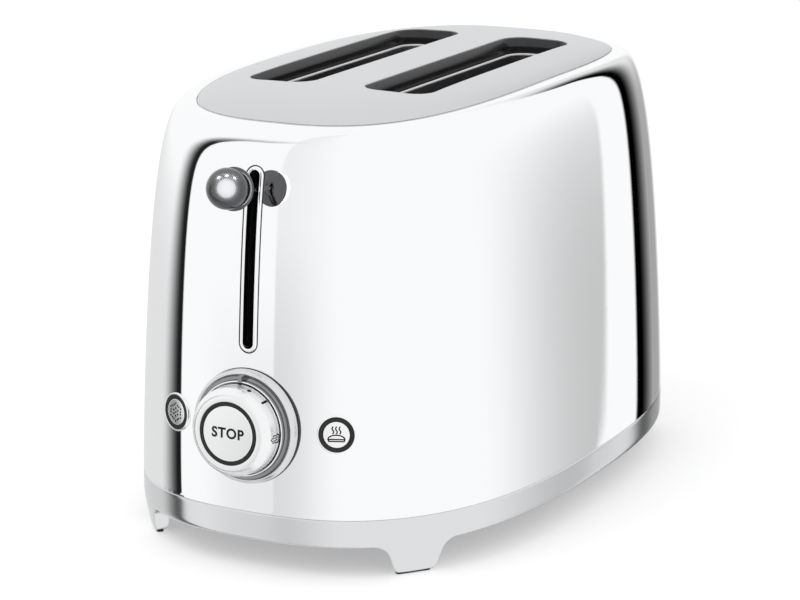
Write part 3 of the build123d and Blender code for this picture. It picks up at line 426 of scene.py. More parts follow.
def lathe(profile, steps, placement, closed=True):
    """Profile of radius and height spun into a full turn."""
    mesh = bmesh.new()
    verts = [mesh.verts.new((radius, 0.0, height)) for radius, height in profile]
    edges = [mesh.edges.new(pair) for pair in zip(verts, verts[1:])]
    if closed:
        edges.append(mesh.edges.new((verts[-1], verts[0])))
    bmesh.ops.spin(
        mesh,
        geom=verts + edges,
        cent=(0, 0, 0),
        axis=(0, 0, 1),
        angle=2 * math.pi,
        steps=steps,
        use_merge=True,
    )
    bmesh.ops.remove_doubles(mesh, verts=mesh.verts, dist=1e-6)
    flat = [face for face in mesh.faces if face.calc_area() < 1e-14]
    bmesh.ops.delete(mesh, geom=flat, context="FACES")
    bmesh.ops.recalc_face_normals(mesh, faces=mesh.faces)
    bmesh.ops.transform(mesh, matrix=placement, verts=mesh.verts)
    return mesh


def slot_outline(half_x, half_y, corner, steps=10):
    """Rounded rectangle as points in order."""
    points = []
    for quarter in range(4):
        sign_x = 1 if quarter in (0, 3) else -1
        sign_y = 1 if quarter in (0, 1) else -1
        for step in range(steps + 1):
            turn = QUARTER * (quarter + step / steps)
            points.append(
                (
                    sign_x * (half_x - corner) + corner * math.cos(turn),
                    sign_y * (half_y - corner) + corner * math.sin(turn),
                )
            )
    return points


def prism(points, low, high):
    """Closed prism from an outline in the XY plane."""
    mesh = bmesh.new()
    face = mesh.faces.new([mesh.verts.new((x, y, low)) for x, y in points])
    made = bmesh.ops.extrude_face_region(mesh, geom=[face])
    moved = [item for item in made["geom"] if isinstance(item, bmesh.types.BMVert)]
    bmesh.ops.translate(mesh, verts=moved, vec=(0, 0, high - low))
    bmesh.ops.recalc_face_normals(mesh, faces=mesh.faces)
    return mesh


def swept_slot(half_x, half_y, corner, centre_x, profile, steps=10, stretch=12):
    """Ring that carries a profile of inset and height round a rounded rectangle."""
    base = slot_outline(half_x, half_y, corner, steps)
    stations = []
    for index, point in enumerate(base):
        following = base[(index + 1) % len(base)]
        gap = Vector(following) - Vector(point)
        parts = stretch if gap.length > 2 * corner else 1
        for part in range(parts):
            place = Vector(point) + gap * part / parts
            stations.append(place)
    stations.append(stations[0])
    ring = profile + [profile[0]]

    def place(column, row):
        point = stations[column]
        inset, z = ring[row]
        core = Vector(
            (
                math.copysign(min(abs(point.x), half_x - corner), point.x),
                math.copysign(min(abs(point.y), half_y - corner), point.y),
            )
        )
        outward = (point - core).normalized()
        spot = point - outward * inset
        return Vector((centre_x + spot.x, spot.y, z))

    return mapped_grid(len(stations) - 1, len(ring) - 1, place)


def make_object(mesh, name):
    """Object at the origin from a bmesh, which is freed."""
    data = bpy.data.meshes.new(name)
    mesh.to_mesh(data)
    mesh.free()
    piece = bpy.data.objects.new(name, data)
    bpy.context.scene.collection.objects.link(piece)
    return piece


def evaluated_mesh(piece):
    """Mesh of a piece with its modifiers, or of words, as the editor would show it."""
    bpy.context.view_layer.update()
    graph = bpy.context.evaluated_depsgraph_get()
    return bpy.data.meshes.new_from_object(piece.evaluated_get(graph))


def settle(piece):
    """Applies a piece's modifiers to its mesh."""
    data = evaluated_mesh(piece)
    piece.modifiers.clear()
    piece.data = data
    data.name = piece.name


def cut(piece, cutters):
    """Cuts pieces away from a piece and removes them."""
    for cutter in cutters:
        modifier = piece.modifiers.new("cut", "BOOLEAN")
        modifier.operation = "DIFFERENCE"
        modifier.solver = "EXACT"
        modifier.object = cutter
    settle(piece)
    for cutter in cutters:
        bpy.data.objects.remove(cutter)


def dress(piece, material, body, slot=None, replaces=(), sharp=32.0):
    """Shades a finished piece, gives it its finish and its body, and hides the parts it replaces."""
    data = piece.data
    data.materials.clear()
    data.materials.append(material)
    data.polygons.foreach_set("use_smooth", [True] * len(data.polygons))
    if sharp is not None:
        data.set_sharp_from_angle(angle=math.radians(sharp))
    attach(piece, body)
    if replaces:
        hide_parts(*replaces)
    return piece


def turned(name, look, ride, slot, node, profile, placement, steps=96, sharp=32.0, closed=True):
    """Piece turned from a profile, finished, given its body, with the part it replaces hidden."""
    piece = make_object(lathe(profile, steps, placement, closed), name)
    return dress(piece, finish(look), ride, slot, [node], sharp)


def join_mesh(whole, part):
    """Adds one bmesh to another and frees it."""
    data = bpy.data.meshes.new("part")
    part.to_mesh(data)
    part.free()
    whole.from_mesh(data)
    bpy.data.meshes.remove(data)


def steer_normals(piece, direction):
    """Gives corners on a known form their exact normals; direction returns None elsewhere."""
    data = piece.data
    normals = [(0.0, 0.0, 0.0)] * len(data.loops)
    for polygon in data.polygons:
        there = direction(polygon.center)
        if there is None or there.dot(polygon.normal) < 0.985:
            continue
        for loop in polygon.loop_indices:
            point = data.vertices[data.loops[loop].vertex_index].co
            normals[loop] = direction(point) or there
    data.normals_split_custom_set(normals)


def shader_tree(name):
    """New material with an empty Principled shader."""
    material = bpy.data.materials.new(name)
    material.use_nodes = True
    tree = material.node_tree
    shader = tree.nodes["Principled BSDF"]
    return material, tree, shader


def add(tree, kind, **inputs):
    """Node with its inputs set or linked by name."""
    node = tree.nodes.new(kind)
    for key, value in inputs.items():
        socket = node.inputs[int(key[1:])] if key[0] == "i" and key[1:].isdigit() else None
        if socket is None:
            socket = node.inputs[key.replace("_", " ")]
        if isinstance(value, bpy.types.NodeSocket):
            tree.links.new(value, socket)
        else:
            socket.default_value = value
    return node


def ramp(tree, fac, stops, interpolation="LINEAR"):
    """Colour ramp with stops of place and grey or colour."""
    node = tree.nodes.new("ShaderNodeValToRGB")
    node.color_ramp.interpolation = interpolation
    elements = node.color_ramp.elements
    while len(elements) < len(stops):
        elements.new(0.5)
    for element, (place, value) in zip(elements, stops):
        element.position = place
        rgb = value if isinstance(value, tuple) else (value,) * 3
        element.color = (*rgb, 1.0)
    tree.links.new(fac, node.inputs["Fac"])
    return node.outputs["Color"]


def grained(tree, shader, place, size, strength, depth):
    """Gives a finish a fine grain."""
    fine = add(tree, "ShaderNodeTexNoise", Vector=place, Scale=1.0 / size, Detail=2.0)
    height = fine.outputs["Fac"]
    bump = add(tree, "ShaderNodeBump", Height=height, Strength=strength, Distance=depth)
    tree.links.new(bump.outputs["Normal"], shader.inputs["Normal"])


def metal(name, rgb, roughness, grain=0.0, grain_size=0.0004, variation=0.06, stretch=(1, 1, 1)):
    """Metal with a fine grain and a slow change of roughness over its surface."""
    material, tree, shader = shader_tree(name)
    shader.inputs["Base Color"].default_value = (*rgb, 1.0)
    shader.inputs["Metallic"].default_value = 1.0
    place = tree.nodes.new("ShaderNodeTexCoord").outputs["Object"]
    slow = add(tree, "ShaderNodeTexNoise", Vector=place, Scale=14.0, Detail=3.0)
    spread = roughness * variation
    limits = {"From_Min": 0.3, "From_Max": 0.7}
    limits |= {"To_Min": roughness - spread, "To_Max": roughness + spread}
    rough = add(tree, "ShaderNodeMapRange", Value=slow.outputs["Fac"], **limits)
    tree.links.new(rough.outputs["Result"], shader.inputs["Roughness"])
    if grain > 0.0:
        drawn = add(tree, "ShaderNodeMapping", Vector=place, Scale=stretch).outputs["Vector"]
        grained(tree, shader, drawn, grain_size, grain, grain_size / 8)
    return material


def plastic(name, rgb, roughness, grain=0.15, grain_size=0.0006, mottle=0.15, coat=0.0):
    """Moulded plastic or rubber with a fine grain and a faint mottle."""
    material, tree, shader = shader_tree(name)
    place = tree.nodes.new("ShaderNodeTexCoord").outputs["Object"]
    slow = add(tree, "ShaderNodeTexNoise", Vector=place, Scale=60.0, Detail=4.0)
    dark = tuple(channel * (1 - mottle) for channel in rgb)
    light = tuple(min(channel * (1 + mottle), 1.0) for channel in rgb)
    tint = ramp(tree, slow.outputs["Fac"], [(0.3, dark), (0.7, light)])
    tree.links.new(tint, shader.inputs["Base Color"])
    shader.inputs["Roughness"].default_value = roughness
    shader.inputs["Coat Weight"].default_value = coat
    shader.inputs["Coat Roughness"].default_value = 0.12
    grained(tree, shader, place, grain_size, grain, grain_size / 6)
    return material


def glazed(material):
    """Clear gloss over a finish."""
    shader = material.node_tree.nodes["Principled BSDF"]
    shader.inputs["Coat Weight"].default_value = 0.6
    shader.inputs["Coat Roughness"].default_value = 0.07
    return material


def dulled(material):
    """Takes most of the sheen off a finish."""
    material.node_tree.nodes["Principled BSDF"].inputs["Specular IOR Level"].default_value = 0.16
    return material


MATERIALS = {}


def finish(name):
    """Material of a finish, made once."""
    if name in MATERIALS:
        return MATERIALS[name]
    tone = bpy.context.scene.toaster_finishes
    makers = {
        "plating": lambda: metal("mirror_plating", tone.plating[:], 0.025, variation=0.3),
        "trim": lambda: metal("trim_plating", tone.plating[:], 0.05, variation=0.2),
        "satin_plate": lambda: metal("satin_plate", tone.satin[:], 0.36, 0.10, 0.00045),
        "satin_band": lambda: metal("satin_band", tone.band[:], 0.17, 0.05, 0.0005),
        "satin_knob": lambda: metal("satin_knob", tone.knob[:], 0.26, 0.05, 0.0003),
        # Painted reflection: dark base colour in place of the dark surroundings mirrored in the
        # ball.
        "ball": lambda: glazed(metal("ball_painted_dark_reflection", tone.ball[:], 0.40, 0.03, 0.0003)),
        # Painted shade: dark finish for the collar so its reflection in the knob reads as shade.
        "collar": lambda: metal("collar_painted_shade", tone.collar[:], 0.12, 0.02, 0.0003),
        # Painted shade in the cove, also the grey of the index bar.
        "cove": lambda: metal("index_grey_and_painted_cove_shade", tone.cove[:], 0.22, 0.02, 0.0003),
        "steel": lambda: metal("plain_steel", tone.steel[:], 0.34, 0.12, 0.0008, 0.25, (1, 0.08, 1)),
        # Painted highlight: a light matt finish that shows a bright line along the steel crests.
        "bead": lambda: plastic("rolled_bead_painted_highlight", tone.bead[:], 0.4, 0.05, 0.0006, 0.04),
        "ribbon": lambda: metal("heating_ribbon", tone.ribbon[:], 0.55, 0.25, 0.0006),
        "ring": lambda: dulled(plastic("dark_ring", tone.ring[:], 0.35, 0.05)),
        "ink": lambda: dulled(plastic("sign_ink", tone.print_ink[:], 0.5, 0.02)),
        "dish": lambda: metal("dish_plating", tone.dish[:], 0.20, 0.02, 0.0003),
        "liner": lambda: plastic("liner_black", tone.black[:], 0.28, 0.04, coat=0.1),
        "black": lambda: plastic("moulded_black", tone.black[:], 0.5, 0.2),
        "rubber": lambda: plastic("pad_rubber", tone.rubber[:], 0.75, 0.35, 0.0008),
        "pale": lambda: plastic("pale_plastic", tone.pale[:], 0.4, 0.1),
        "board": lambda: plastic("circuit_board", tone.board[:], 0.35, 0.1, 0.0012),
        "mica": lambda: plastic("pressed_mica", tone.mica[:], 0.45, 0.3, 0.002, 0.35),
        "winding": lambda: winding_material(tone.copper[:]),
    }
    MATERIALS[name] = makers[name]()
    return MATERIALS[name]


def winding_material(rgb):
    """Lacquered wire laid in close level turns."""
    material, tree, shader = shader_tree("wound_wire")
    shader.inputs["Metallic"].default_value = 0.85
    shader.inputs["Roughness"].default_value = 0.3
    place = tree.nodes.new("ShaderNodeTexCoord").outputs["Object"]
    wave = tree.nodes.new("ShaderNodeTexWave")
    wave.bands_direction = "Z"
    wave.inputs["Scale"].default_value = 600.0
    tree.links.new(place, wave.inputs["Vector"])
    dark = tuple(channel * 0.45 for channel in rgb)
    tint = ramp(tree, wave.outputs["Fac"], [(0.0, dark), (0.6, rgb)])
    tree.links.new(tint, shader.inputs["Base Color"])
    bump = add(tree, "ShaderNodeBump", Height=wave.outputs["Fac"], Strength=0.6, Distance=0.0002)
    tree.links.new(bump.outputs["Normal"], shader.inputs["Normal"])
    return material


class TOASTER_OT_shell(bpy.types.Operator):
    """Build the mirror-plated shell with its openings"""

    bl_idname = "toaster.shell"
    bl_label = "Plated shell"

    def execute(self, context):
        body, controls = body_sizes(), control_sizes()
        columns = context.scene.toaster_studio.around
        turns = outline_turns(body, columns)
        rings = self.rings(body)

        def place(column, row):
            half_x, half_y, curve, z = rings[row]
            x, y = on_outline(half_x, half_y, curve, turns[column])
            return Vector((x, y, arched(body, y, z)))

        shell = make_object(mapped_grid(columns, len(rings) - 1, place), "plated_shell")
        reach = 0.012
        holes = [(control_matrix(0.0, controls.control_height), controls.dish_bore)]
        holes += [(button_matrix(controls, side), controls.button_ring) for side in SIDES.values()]
        cutters = []
        for spot, radius in holes:
            profile = [(0, -reach), (radius, -reach), (radius, reach), (0, reach)]
            cutters.append(make_object(lathe(profile, 64, spot), "hole"))
        cutters.append(make_object(lever_slot_prism(), "slot_hole"))
        cut(shell, cutters)
        dress(shell, finish("plating"), "housing", "plated_shell", ["body_shell"], 30.0)

        def direction(point):
            if point.z < body.band_top + body.seam:
                return None
            rim = arched(body, point.y, body.rim_height)
            if point.z > rim - 1e-5 or abs(shell_value(body, point)) > 0.004:
                return None
            return shell_normal(body, point)

        steer_normals(shell, direction)
        return {"FINISHED"}

    @staticmethod
    def rings(body):
        """Sections up the outside, over the rim's flange and down the inside."""
        lip, seam = body.rim_lip, body.seam
        rings = []
        for inset, z in ((seam, 0.0), (0.5 * seam, 0.15 * seam), (0.15 * seam, 0.5 * seam)):
            half_x, half_y, curve = section_of(body, 1.0)
            rings.append((half_x - inset, half_y - inset, curve, body.band_top + z))
        for spread, z in wall_levels(body, 84)[1:]:
            rings.append((*section_of(body, spread), z))
        half_x, half_y, curve = section_of(body, 0.0)
        for share in (0.3, 0.6, 0.85, 1.0):
            inset = lip * math.sin(share * QUARTER)
            drop = lip * (1 - math.cos(share * QUARTER))
            rings.append((half_x - inset, half_y - inset, curve, body.rim_height - drop))
        seat, flange = body.rim_height - 2 * lip, body.rim_flange
        for inset, z in ((lip, seat), (flange, seat), (flange, seat - body.wall)):
            rings.append((half_x - inset, half_y - inset, curve, z))
        for share in (0.965, 0.93, 0.88, 0.8, 0.6, 0.4, 0.2, 0.0):
            z = body.band_top + (body.rim_height - body.band_top) * share
            half_x, half_y, curve = section_of(body, spread_at(body, z))
            slope = (section_of(body, spread_at(body, z - 1e-4))[0] - half_x) / 1e-4
            inset = body.wall * math.hypot(1.0, slope) if share > 0 else body.wall
            rings.append((half_x - inset, half_y - inset, curve, z))
        return rings + rings[:1]


def lever_slot_prism(steps=16, depth=0.03):
    """Prism of the lever's slot through the shell's front."""
    body, controls = body_sizes(), control_sizes()
    half = controls.slot_half
    points = []
    for centre, start in ((controls.slot_high - half, 0.0), (controls.slot_low + half, math.pi)):
        for step in range(steps + 1):
            turn = start + math.pi * step / steps
            points.append((half * math.cos(turn), centre + half * math.sin(turn)))
    mesh = prism(points, 0.0, 2 * depth + 0.02)
    shift = Matrix.Translation((0, -body.base_half_length - depth, 0))
    turn = Matrix(((1, 0, 0), (0, 0, 1), (0, 1, 0))).to_4x4()
    bmesh.ops.transform(mesh, matrix=shift @ turn, verts=mesh.verts)
    bmesh.ops.recalc_face_normals(mesh, faces=mesh.faces)
    return mesh


class TOASTER_OT_top_plate(bpy.types.Operator):
    """Build the satin top plate with its two bread slots"""

    bl_idname = "toaster.top_plate"
    bl_label = "Top plate"

    def execute(self, context):
        body = body_sizes()
        columns = context.scene.toaster_studio.around
        turns = outline_turns(body, columns)
        half_x = body.crown_half_width - body.plate_gap
        half_y = body.crown_half_length - body.plate_gap
        curve = body.crown_curve
        sheet, edge = body.wall, body.plate_edge
        shares = [1 - (1 - k / 40) ** 1.6 for k in range(1, 40)]

        rings = [(share, 0.0, 0.0) for share in [0.0, *shares]]
        for turn in (0.0, 0.35, 0.7, 1.0):
            swing = QUARTER * turn
            rings.append((1.0, edge * (1 - math.sin(swing)), -edge * (1.1 - math.cos(swing))))
        rings += [(1.0, 0.0, -sheet * 1.4), (1.0, sheet, -sheet * 1.4), (1.0, sheet, -sheet)]
        rings += [(share, sheet * share, -sheet) for share in reversed(shares[::3])]
        rings.append((0.0, 0.0, -sheet))

        def place(column, row):
            share, inset, down = rings[row]
            x, y = on_outline(half_x - inset, half_y - inset, curve, turns[column])
            return Vector((x * share, y * share, plate_level(body, share, y) + down))

        plate = make_object(mapped_grid(columns, len(rings) - 1, place), "top_plate_satin")
        cut(plate, [make_object(self.slot_cutter(body, side), "cut") for side in SIDES.values()])
        dress(plate, finish("satin_plate"), "housing", "satin_plate", ["top_plate"], 30.0)

        def direction(point, step=1e-4):
            x, y = point.x, point.y
            if abs(point.z - plate_height(body, x, y)) > 3e-5:
                return None
            slope_x = plate_height(body, x + step, y) - plate_height(body, x - step, y)
            slope_y = plate_height(body, x, y + step) - plate_height(body, x, y - step)
            return Vector((-slope_x, -slope_y, 2 * step)).normalized()

        steer_normals(plate, direction)
        return {"FINISHED"}

    @staticmethod
    def slot_cutter(body, side):
        """Solid that cuts a bread slot and breaks its upper edge."""
        steps, soft = 14, body.slot_edge
        rows = [(0.0, None, -0.02), (0.0, soft, 0.0), (0.35 * soft, 0.4 * soft, 0.0)]
        rows += [(1.15 * soft, -0.15 * soft, 0.0), (1.15 * soft, None, 0.01)]
        size = body.slot_half_width, body.slot_half_length, body.slot_corner
        outlines = []
        for grow, _, _ in rows:
            points = slot_outline(*(part + grow for part in size), steps)
            spread = []
            for point, following in zip(points, points[1:] + points[:1]):
                gap = Vector(following) - Vector(point)
                parts = 20 if gap.length > 0.005 else 1
                spread += [Vector(point) + gap * part / parts for part in range(parts)]
            outlines.append(spread + spread[:1])

        def place(column, row):
            point = outlines[row][column]
            _, below, level = rows[row]
            x = point.x + side * body.slot_centre
            if below is None:
                return Vector((x, point.y, body.body_height + level))
            return Vector((x, point.y, plate_height(body, x, point.y) - below))

        mesh = mapped_grid(len(outlines[0]) - 1, len(rows) - 1, place)
        rim = [edge for edge in mesh.edges if edge.is_boundary]
        bmesh.ops.holes_fill(mesh, edges=rim, sides=0)
        bmesh.ops.recalc_face_normals(mesh, faces=mesh.faces)
        return mesh


def plate_level(body, share, y):
    """Height of the top plate a share of the way from its middle to its edge."""
    along = min(abs(y) / (body.crown_half_length - body.plate_gap) / max(share, 1e-6), 1.0)
    lift = body.arch * (1.0 - along**2) - body.arch_sink
    return body.body_height - (body.plate_drop - lift) * share**body.plate_roll


def plate_height(body, x, y):
    """Height of the top plate at a point."""
    half_x = body.crown_half_width - body.plate_gap
    half_y = body.crown_half_length - body.plate_gap
    curve = body.crown_curve
    share = ((abs(x) / half_x) ** curve + (abs(y) / half_y) ** curve) ** (1 / curve)
    return plate_level(body, share, y)


class TOASTER_OT_slots(bpy.types.Operator):
    """Build the slot liners and the beaded steel throats under them"""

    bl_idname = "toaster.slots"
    bl_label = "Bread slots"

    def execute(self, context):
        body = body_sizes()
        deck = body.frame_level + body.frame_sheet
        for name, side in SIDES.items():
            self.liner(body, deck, name, side)
        throats = []
        for name, side in SIDES.items():
            throats += self.throat(body, deck, name, side)
        frame_piece = self.chamber_frame(body, deck)
        dress(frame_piece, finish("steel"), "housing", "steel", ["chamber_top_frame"], 30.0)
        for throat, look in throats:
            dress(throat, finish(look), "housing", "steel", ["chamber_top_frame"], 40.0)
        return {"FINISHED"}

    @staticmethod
    def swept(body, side, profile, more_corner=0.0):
        """Carries a profile round a bread slot."""
        return swept_slot(
            body.slot_half_width,
            body.slot_half_length,
            body.slot_corner + more_corner,
            side * body.slot_centre,
            profile,
            steps=12,
            stretch=24,
        )

    def liner(self, body, deck, name, side):
        """Black liner from the plate down to the frame's deck."""
        wall, top, foot = body.liner_wall, body.body_height - body.liner_sink, -0.0006
        points = [(0.0, top, 0.0001), (0.0004, top, FINE_EDGE), (wall, top - 0.004, 0.003)]
        points += [(wall, deck, FINE_EDGE), (foot, deck, FINE_EDGE)]
        points += [(foot, deck + wall, FINE_EDGE), (0.0, deck + wall, FINE_EDGE)]
        mesh = self.swept(body, side, rounded(points, 4))
        for vert in mesh.verts:
            if vert.co.z > body.body_height - 0.003:
                vert.co.z += plate_height(body, vert.co.x, vert.co.y) - body.body_height
        liner = make_object(mesh, f"slot_liner_{name}_black")
        dress(liner, finish("liner"), "housing", "black_plastic", [f"slot_liner_{name}"], 40.0)

    def throat(self, body, deck, name, side):
        """Steel throat under a slot and the bead on its crest, each with its finish; the bead's
        light finish is a painted highlight on the throat's steel crest.
        """
        inset, sheet = body.throat_inset, body.throat_sheet
        low, crest = deck - body.throat_depth, deck + body.bead_height
        points = [(inset - sheet, crest - SOFT_EDGE), (inset, crest - SOFT_EDGE)]
        points += [(inset, low, EDGE), (inset - sheet, low, EDGE)]
        wall = self.swept(body, side, rounded(points, 6), 0.001)
        # The crest's rolled edge is a separate ring so that it can carry the painted highlight.
        bead = [
            (inset - sheet / 2 + 0.0007 * math.cos(turn), crest + 0.0006 * math.sin(turn))
            for turn in (math.pi * step / 8 for step in range(16))
        ]
        bead = self.swept(body, side, bead, 0.001)
        return [
            (make_object(wall, f"throat_{name}"), "steel"),
            (make_object(bead, f"throat_bead_painted_highlight_{name}"), "bead"),
        ]

    @staticmethod
    def chamber_frame(body, deck):
        """Flat steel frame over the chambers with its two openings."""
        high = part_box("chamber_top_frame")[1]
        outline = slot_outline(high.x, high.y, 0.024, 12)
        piece = make_object(prism(outline, body.frame_level, deck), "chamber_frame_steel")
        shrink = body.throat_inset - body.throat_sheet
        half_x, half_y = body.slot_half_width - shrink, body.slot_half_length - shrink
        cutters = []
        for side in SIDES.values():
            points = slot_outline(half_x, half_y, body.slot_corner, 12)
            points = [(x + side * body.slot_centre, y) for x, y in points]
            cutters.append(make_object(prism(points, 0.17, 0.2), "throat_cut"))
        cut(piece, cutters)
        return piece


def foot_frame(body, sign_x, sign_y):
    """Middle of a foot on the outline and the direction along the outline there."""
    half_x, half_y, curve = section_of(body, 1.0)
    y = half_y * (1 - (body.foot_x / half_x) ** curve) ** (1 / curve)
    slope_x = sign_x * body.foot_x ** (curve - 1) / half_x**curve
    slope_y = sign_y * y ** (curve - 1) / half_y**curve
    normal = Vector((slope_x, slope_y)).normalized()
    return Vector((sign_x * body.foot_x, sign_y * y)), Vector((-normal.y, normal.x)), normal


def foot_edge(body, reach):
    """Height of the band's lower edge at a distance from a foot's middle."""
    rise = body.band_bottom - body.pad
    lean = math.atan2(rise, body.foot_flare)
    toe, root = body.foot_toe, body.foot_root
    toe_reach = toe / math.tan((math.pi - lean) / 2)
    root_reach = root / math.tan((math.pi - lean) / 2)
    half = body.foot_half
    if reach <= half - toe_reach:
        return body.pad
    if reach < half + toe_reach * math.cos(lean):
        return body.pad + toe - math.sqrt(max(toe**2 - (reach - half + toe_reach) ** 2, 0.0))
    if reach < half + body.foot_flare - root_reach * math.cos(lean):
        return body.pad + (reach - half) * math.tan(lean)
    far = half + body.foot_flare + root_reach
    if reach < far:
        return body.band_bottom - root + math.sqrt(max(root**2 - (far - reach) ** 2, 0.0))
    return body.band_bottom


class TOASTER_OT_base(bpy.types.Operator):
    """Build the satin base band with its four flared feet and their pads"""

    bl_idname = "toaster.base"
    bl_label = "Base band and feet"

    def execute(self, context):
        body = body_sizes()
        feet = [foot_frame(body, sx, sy) for sx, sy in FOOT_SIGNS]
        size = section_of(body, 1.0)
        quarter = self.stations(body, size, feet[3])
        turns = quarter + [math.pi - t for t in reversed(quarter[:-1])]
        turns += [math.pi + t for t in quarter[1:]]
        turns += [2 * math.pi - t for t in reversed(quarter[:-1])]
        soft, top_soft = body.band_sole, body.rim_lip
        flange = body.foot_depth
        ledge = body.band_bottom + 0.0015

        def lean_in(z):
            below = max(body.band_bottom + 0.002 - z, 0.0) / (body.band_bottom + 0.002 - body.pad)
            return body.foot_inset * below**1.25

        def low_at(x, y):
            point = Vector((x, y))
            lowest = body.band_bottom
            for middle, along, _ in feet:
                offset = point - middle
                if offset.length < 0.03:
                    lowest = min(lowest, foot_edge(body, abs(offset.dot(along))))
            return lowest

        lows = [low_at(*on_outline(*size, turn)) for turn in turns]
        swings = [QUARTER * step / 5 for step in range(6)]
        rows = [("top", top_soft * (1 - math.sin(t)), top_soft * (1 - math.cos(t))) for t in swings]
        rows += [("wall", share, 0.0) for share in (0.1, 0.25, 0.4, 0.55, 0.7, 0.82, 0.92)]
        rows += [("sole", soft * (1 - math.cos(t)), soft * (1 - math.sin(t))) for t in swings]
        rows += [("sole", flange * 0.5, 0.0), ("sole", flange - 0.0008, 0.0)]
        rows += [("sole", flange, 0.0008), ("inner", flange, ledge), ("inner", 0.003, ledge)]
        rows += [("inner", 0.003, body.band_top - 0.0002), ("inner", top_soft, body.band_top)]
        rows.append(rows[0])

        def place(column, row):
            kind, first, second = rows[row]
            low = lows[column]
            if kind == "top":
                inset, z = first, body.band_top - second
            elif kind == "wall":
                high = body.band_top - top_soft
                z = high + (low + soft - high) * first
                inset = lean_in(z)
            elif kind == "sole":
                z = low + second
                inset = lean_in(z) + first if first <= soft else first
            else:
                inset, z = first, second
            half_x, half_y, curve = size
            return Vector((*on_outline(half_x - inset, half_y - inset, curve, turns[column]), z))

        band = make_object(mapped_grid(len(turns) - 1, len(rows) - 1, place), "base_band_satin")
        low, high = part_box("tray_handle")
        gap = EDGE
        left, right, inner, outer = low.x - gap, high.x + gap, 0.06, 0.2
        corners = [(left, inner), (right, inner), (right, outer), (left, outer)]
        tray = prism(corners, low.z - gap, high.z + gap)
        cut(band, [make_object(tray, "tray_gap")])
        dress(band, finish("satin_band"), "housing", "satin_band", ["base_band"], 34.0)
        self.pads(body)
        return {"FINISHED"}

    @staticmethod
    def stations(body, size, foot):
        """Turns of one quarter, closer together round its foot."""
        middle = foot[0]
        turns = evenly(lambda t: on_outline(*size, t), 0.0, QUARTER, 600)
        kept, last = [turns[0]], Vector(on_outline(*size, turns[0]))
        for turn in turns[1:-1]:
            point = Vector(on_outline(*size, turn))
            near = (point - middle).length
            step = 0.0006 if near < 0.023 else 0.0030
            if (point - last).length >= step:
                kept.append(turn)
                last = point
        return kept + [QUARTER]

    @staticmethod
    def pads(body):
        """Four rubber pads under the feet."""
        whole = bmesh.new()
        half_x, half_y = body.foot_half - body.pad_half, body.pad_half
        for sx, sy in FOOT_SIGNS:
            middle, along, normal = foot_frame(body, sx, sy)
            centre = middle - normal * (body.foot_inset + body.foot_depth) / 2
            pad = prism(slot_outline(half_x, half_y, 0.0012, 6), 0.0, body.pad + FINE_EDGE)
            edges = [edge for edge in pad.edges if edge.calc_face_angle(0) > 1.0]
            rim = {"offset": EDGE, "segments": 3, "profile": 0.5, "material": -1}
            bmesh.ops.bevel(pad, geom=edges, affect="EDGES", **rim)
            turn = Matrix.Translation((*centre, 0)) @ Matrix(
                ((along.x, normal.x, 0), (along.y, normal.y, 0), (0, 0, 1))
            ).to_4x4()
            bmesh.ops.transform(pad, matrix=turn, verts=pad.verts)
            bmesh.ops.recalc_face_normals(pad, faces=pad.faces)
            join_mesh(whole, pad)
        pads = make_object(whole, "foot_pads_rubber")
        dress(pads, finish("rubber"), "housing", "rubber", ["foot_pads"])


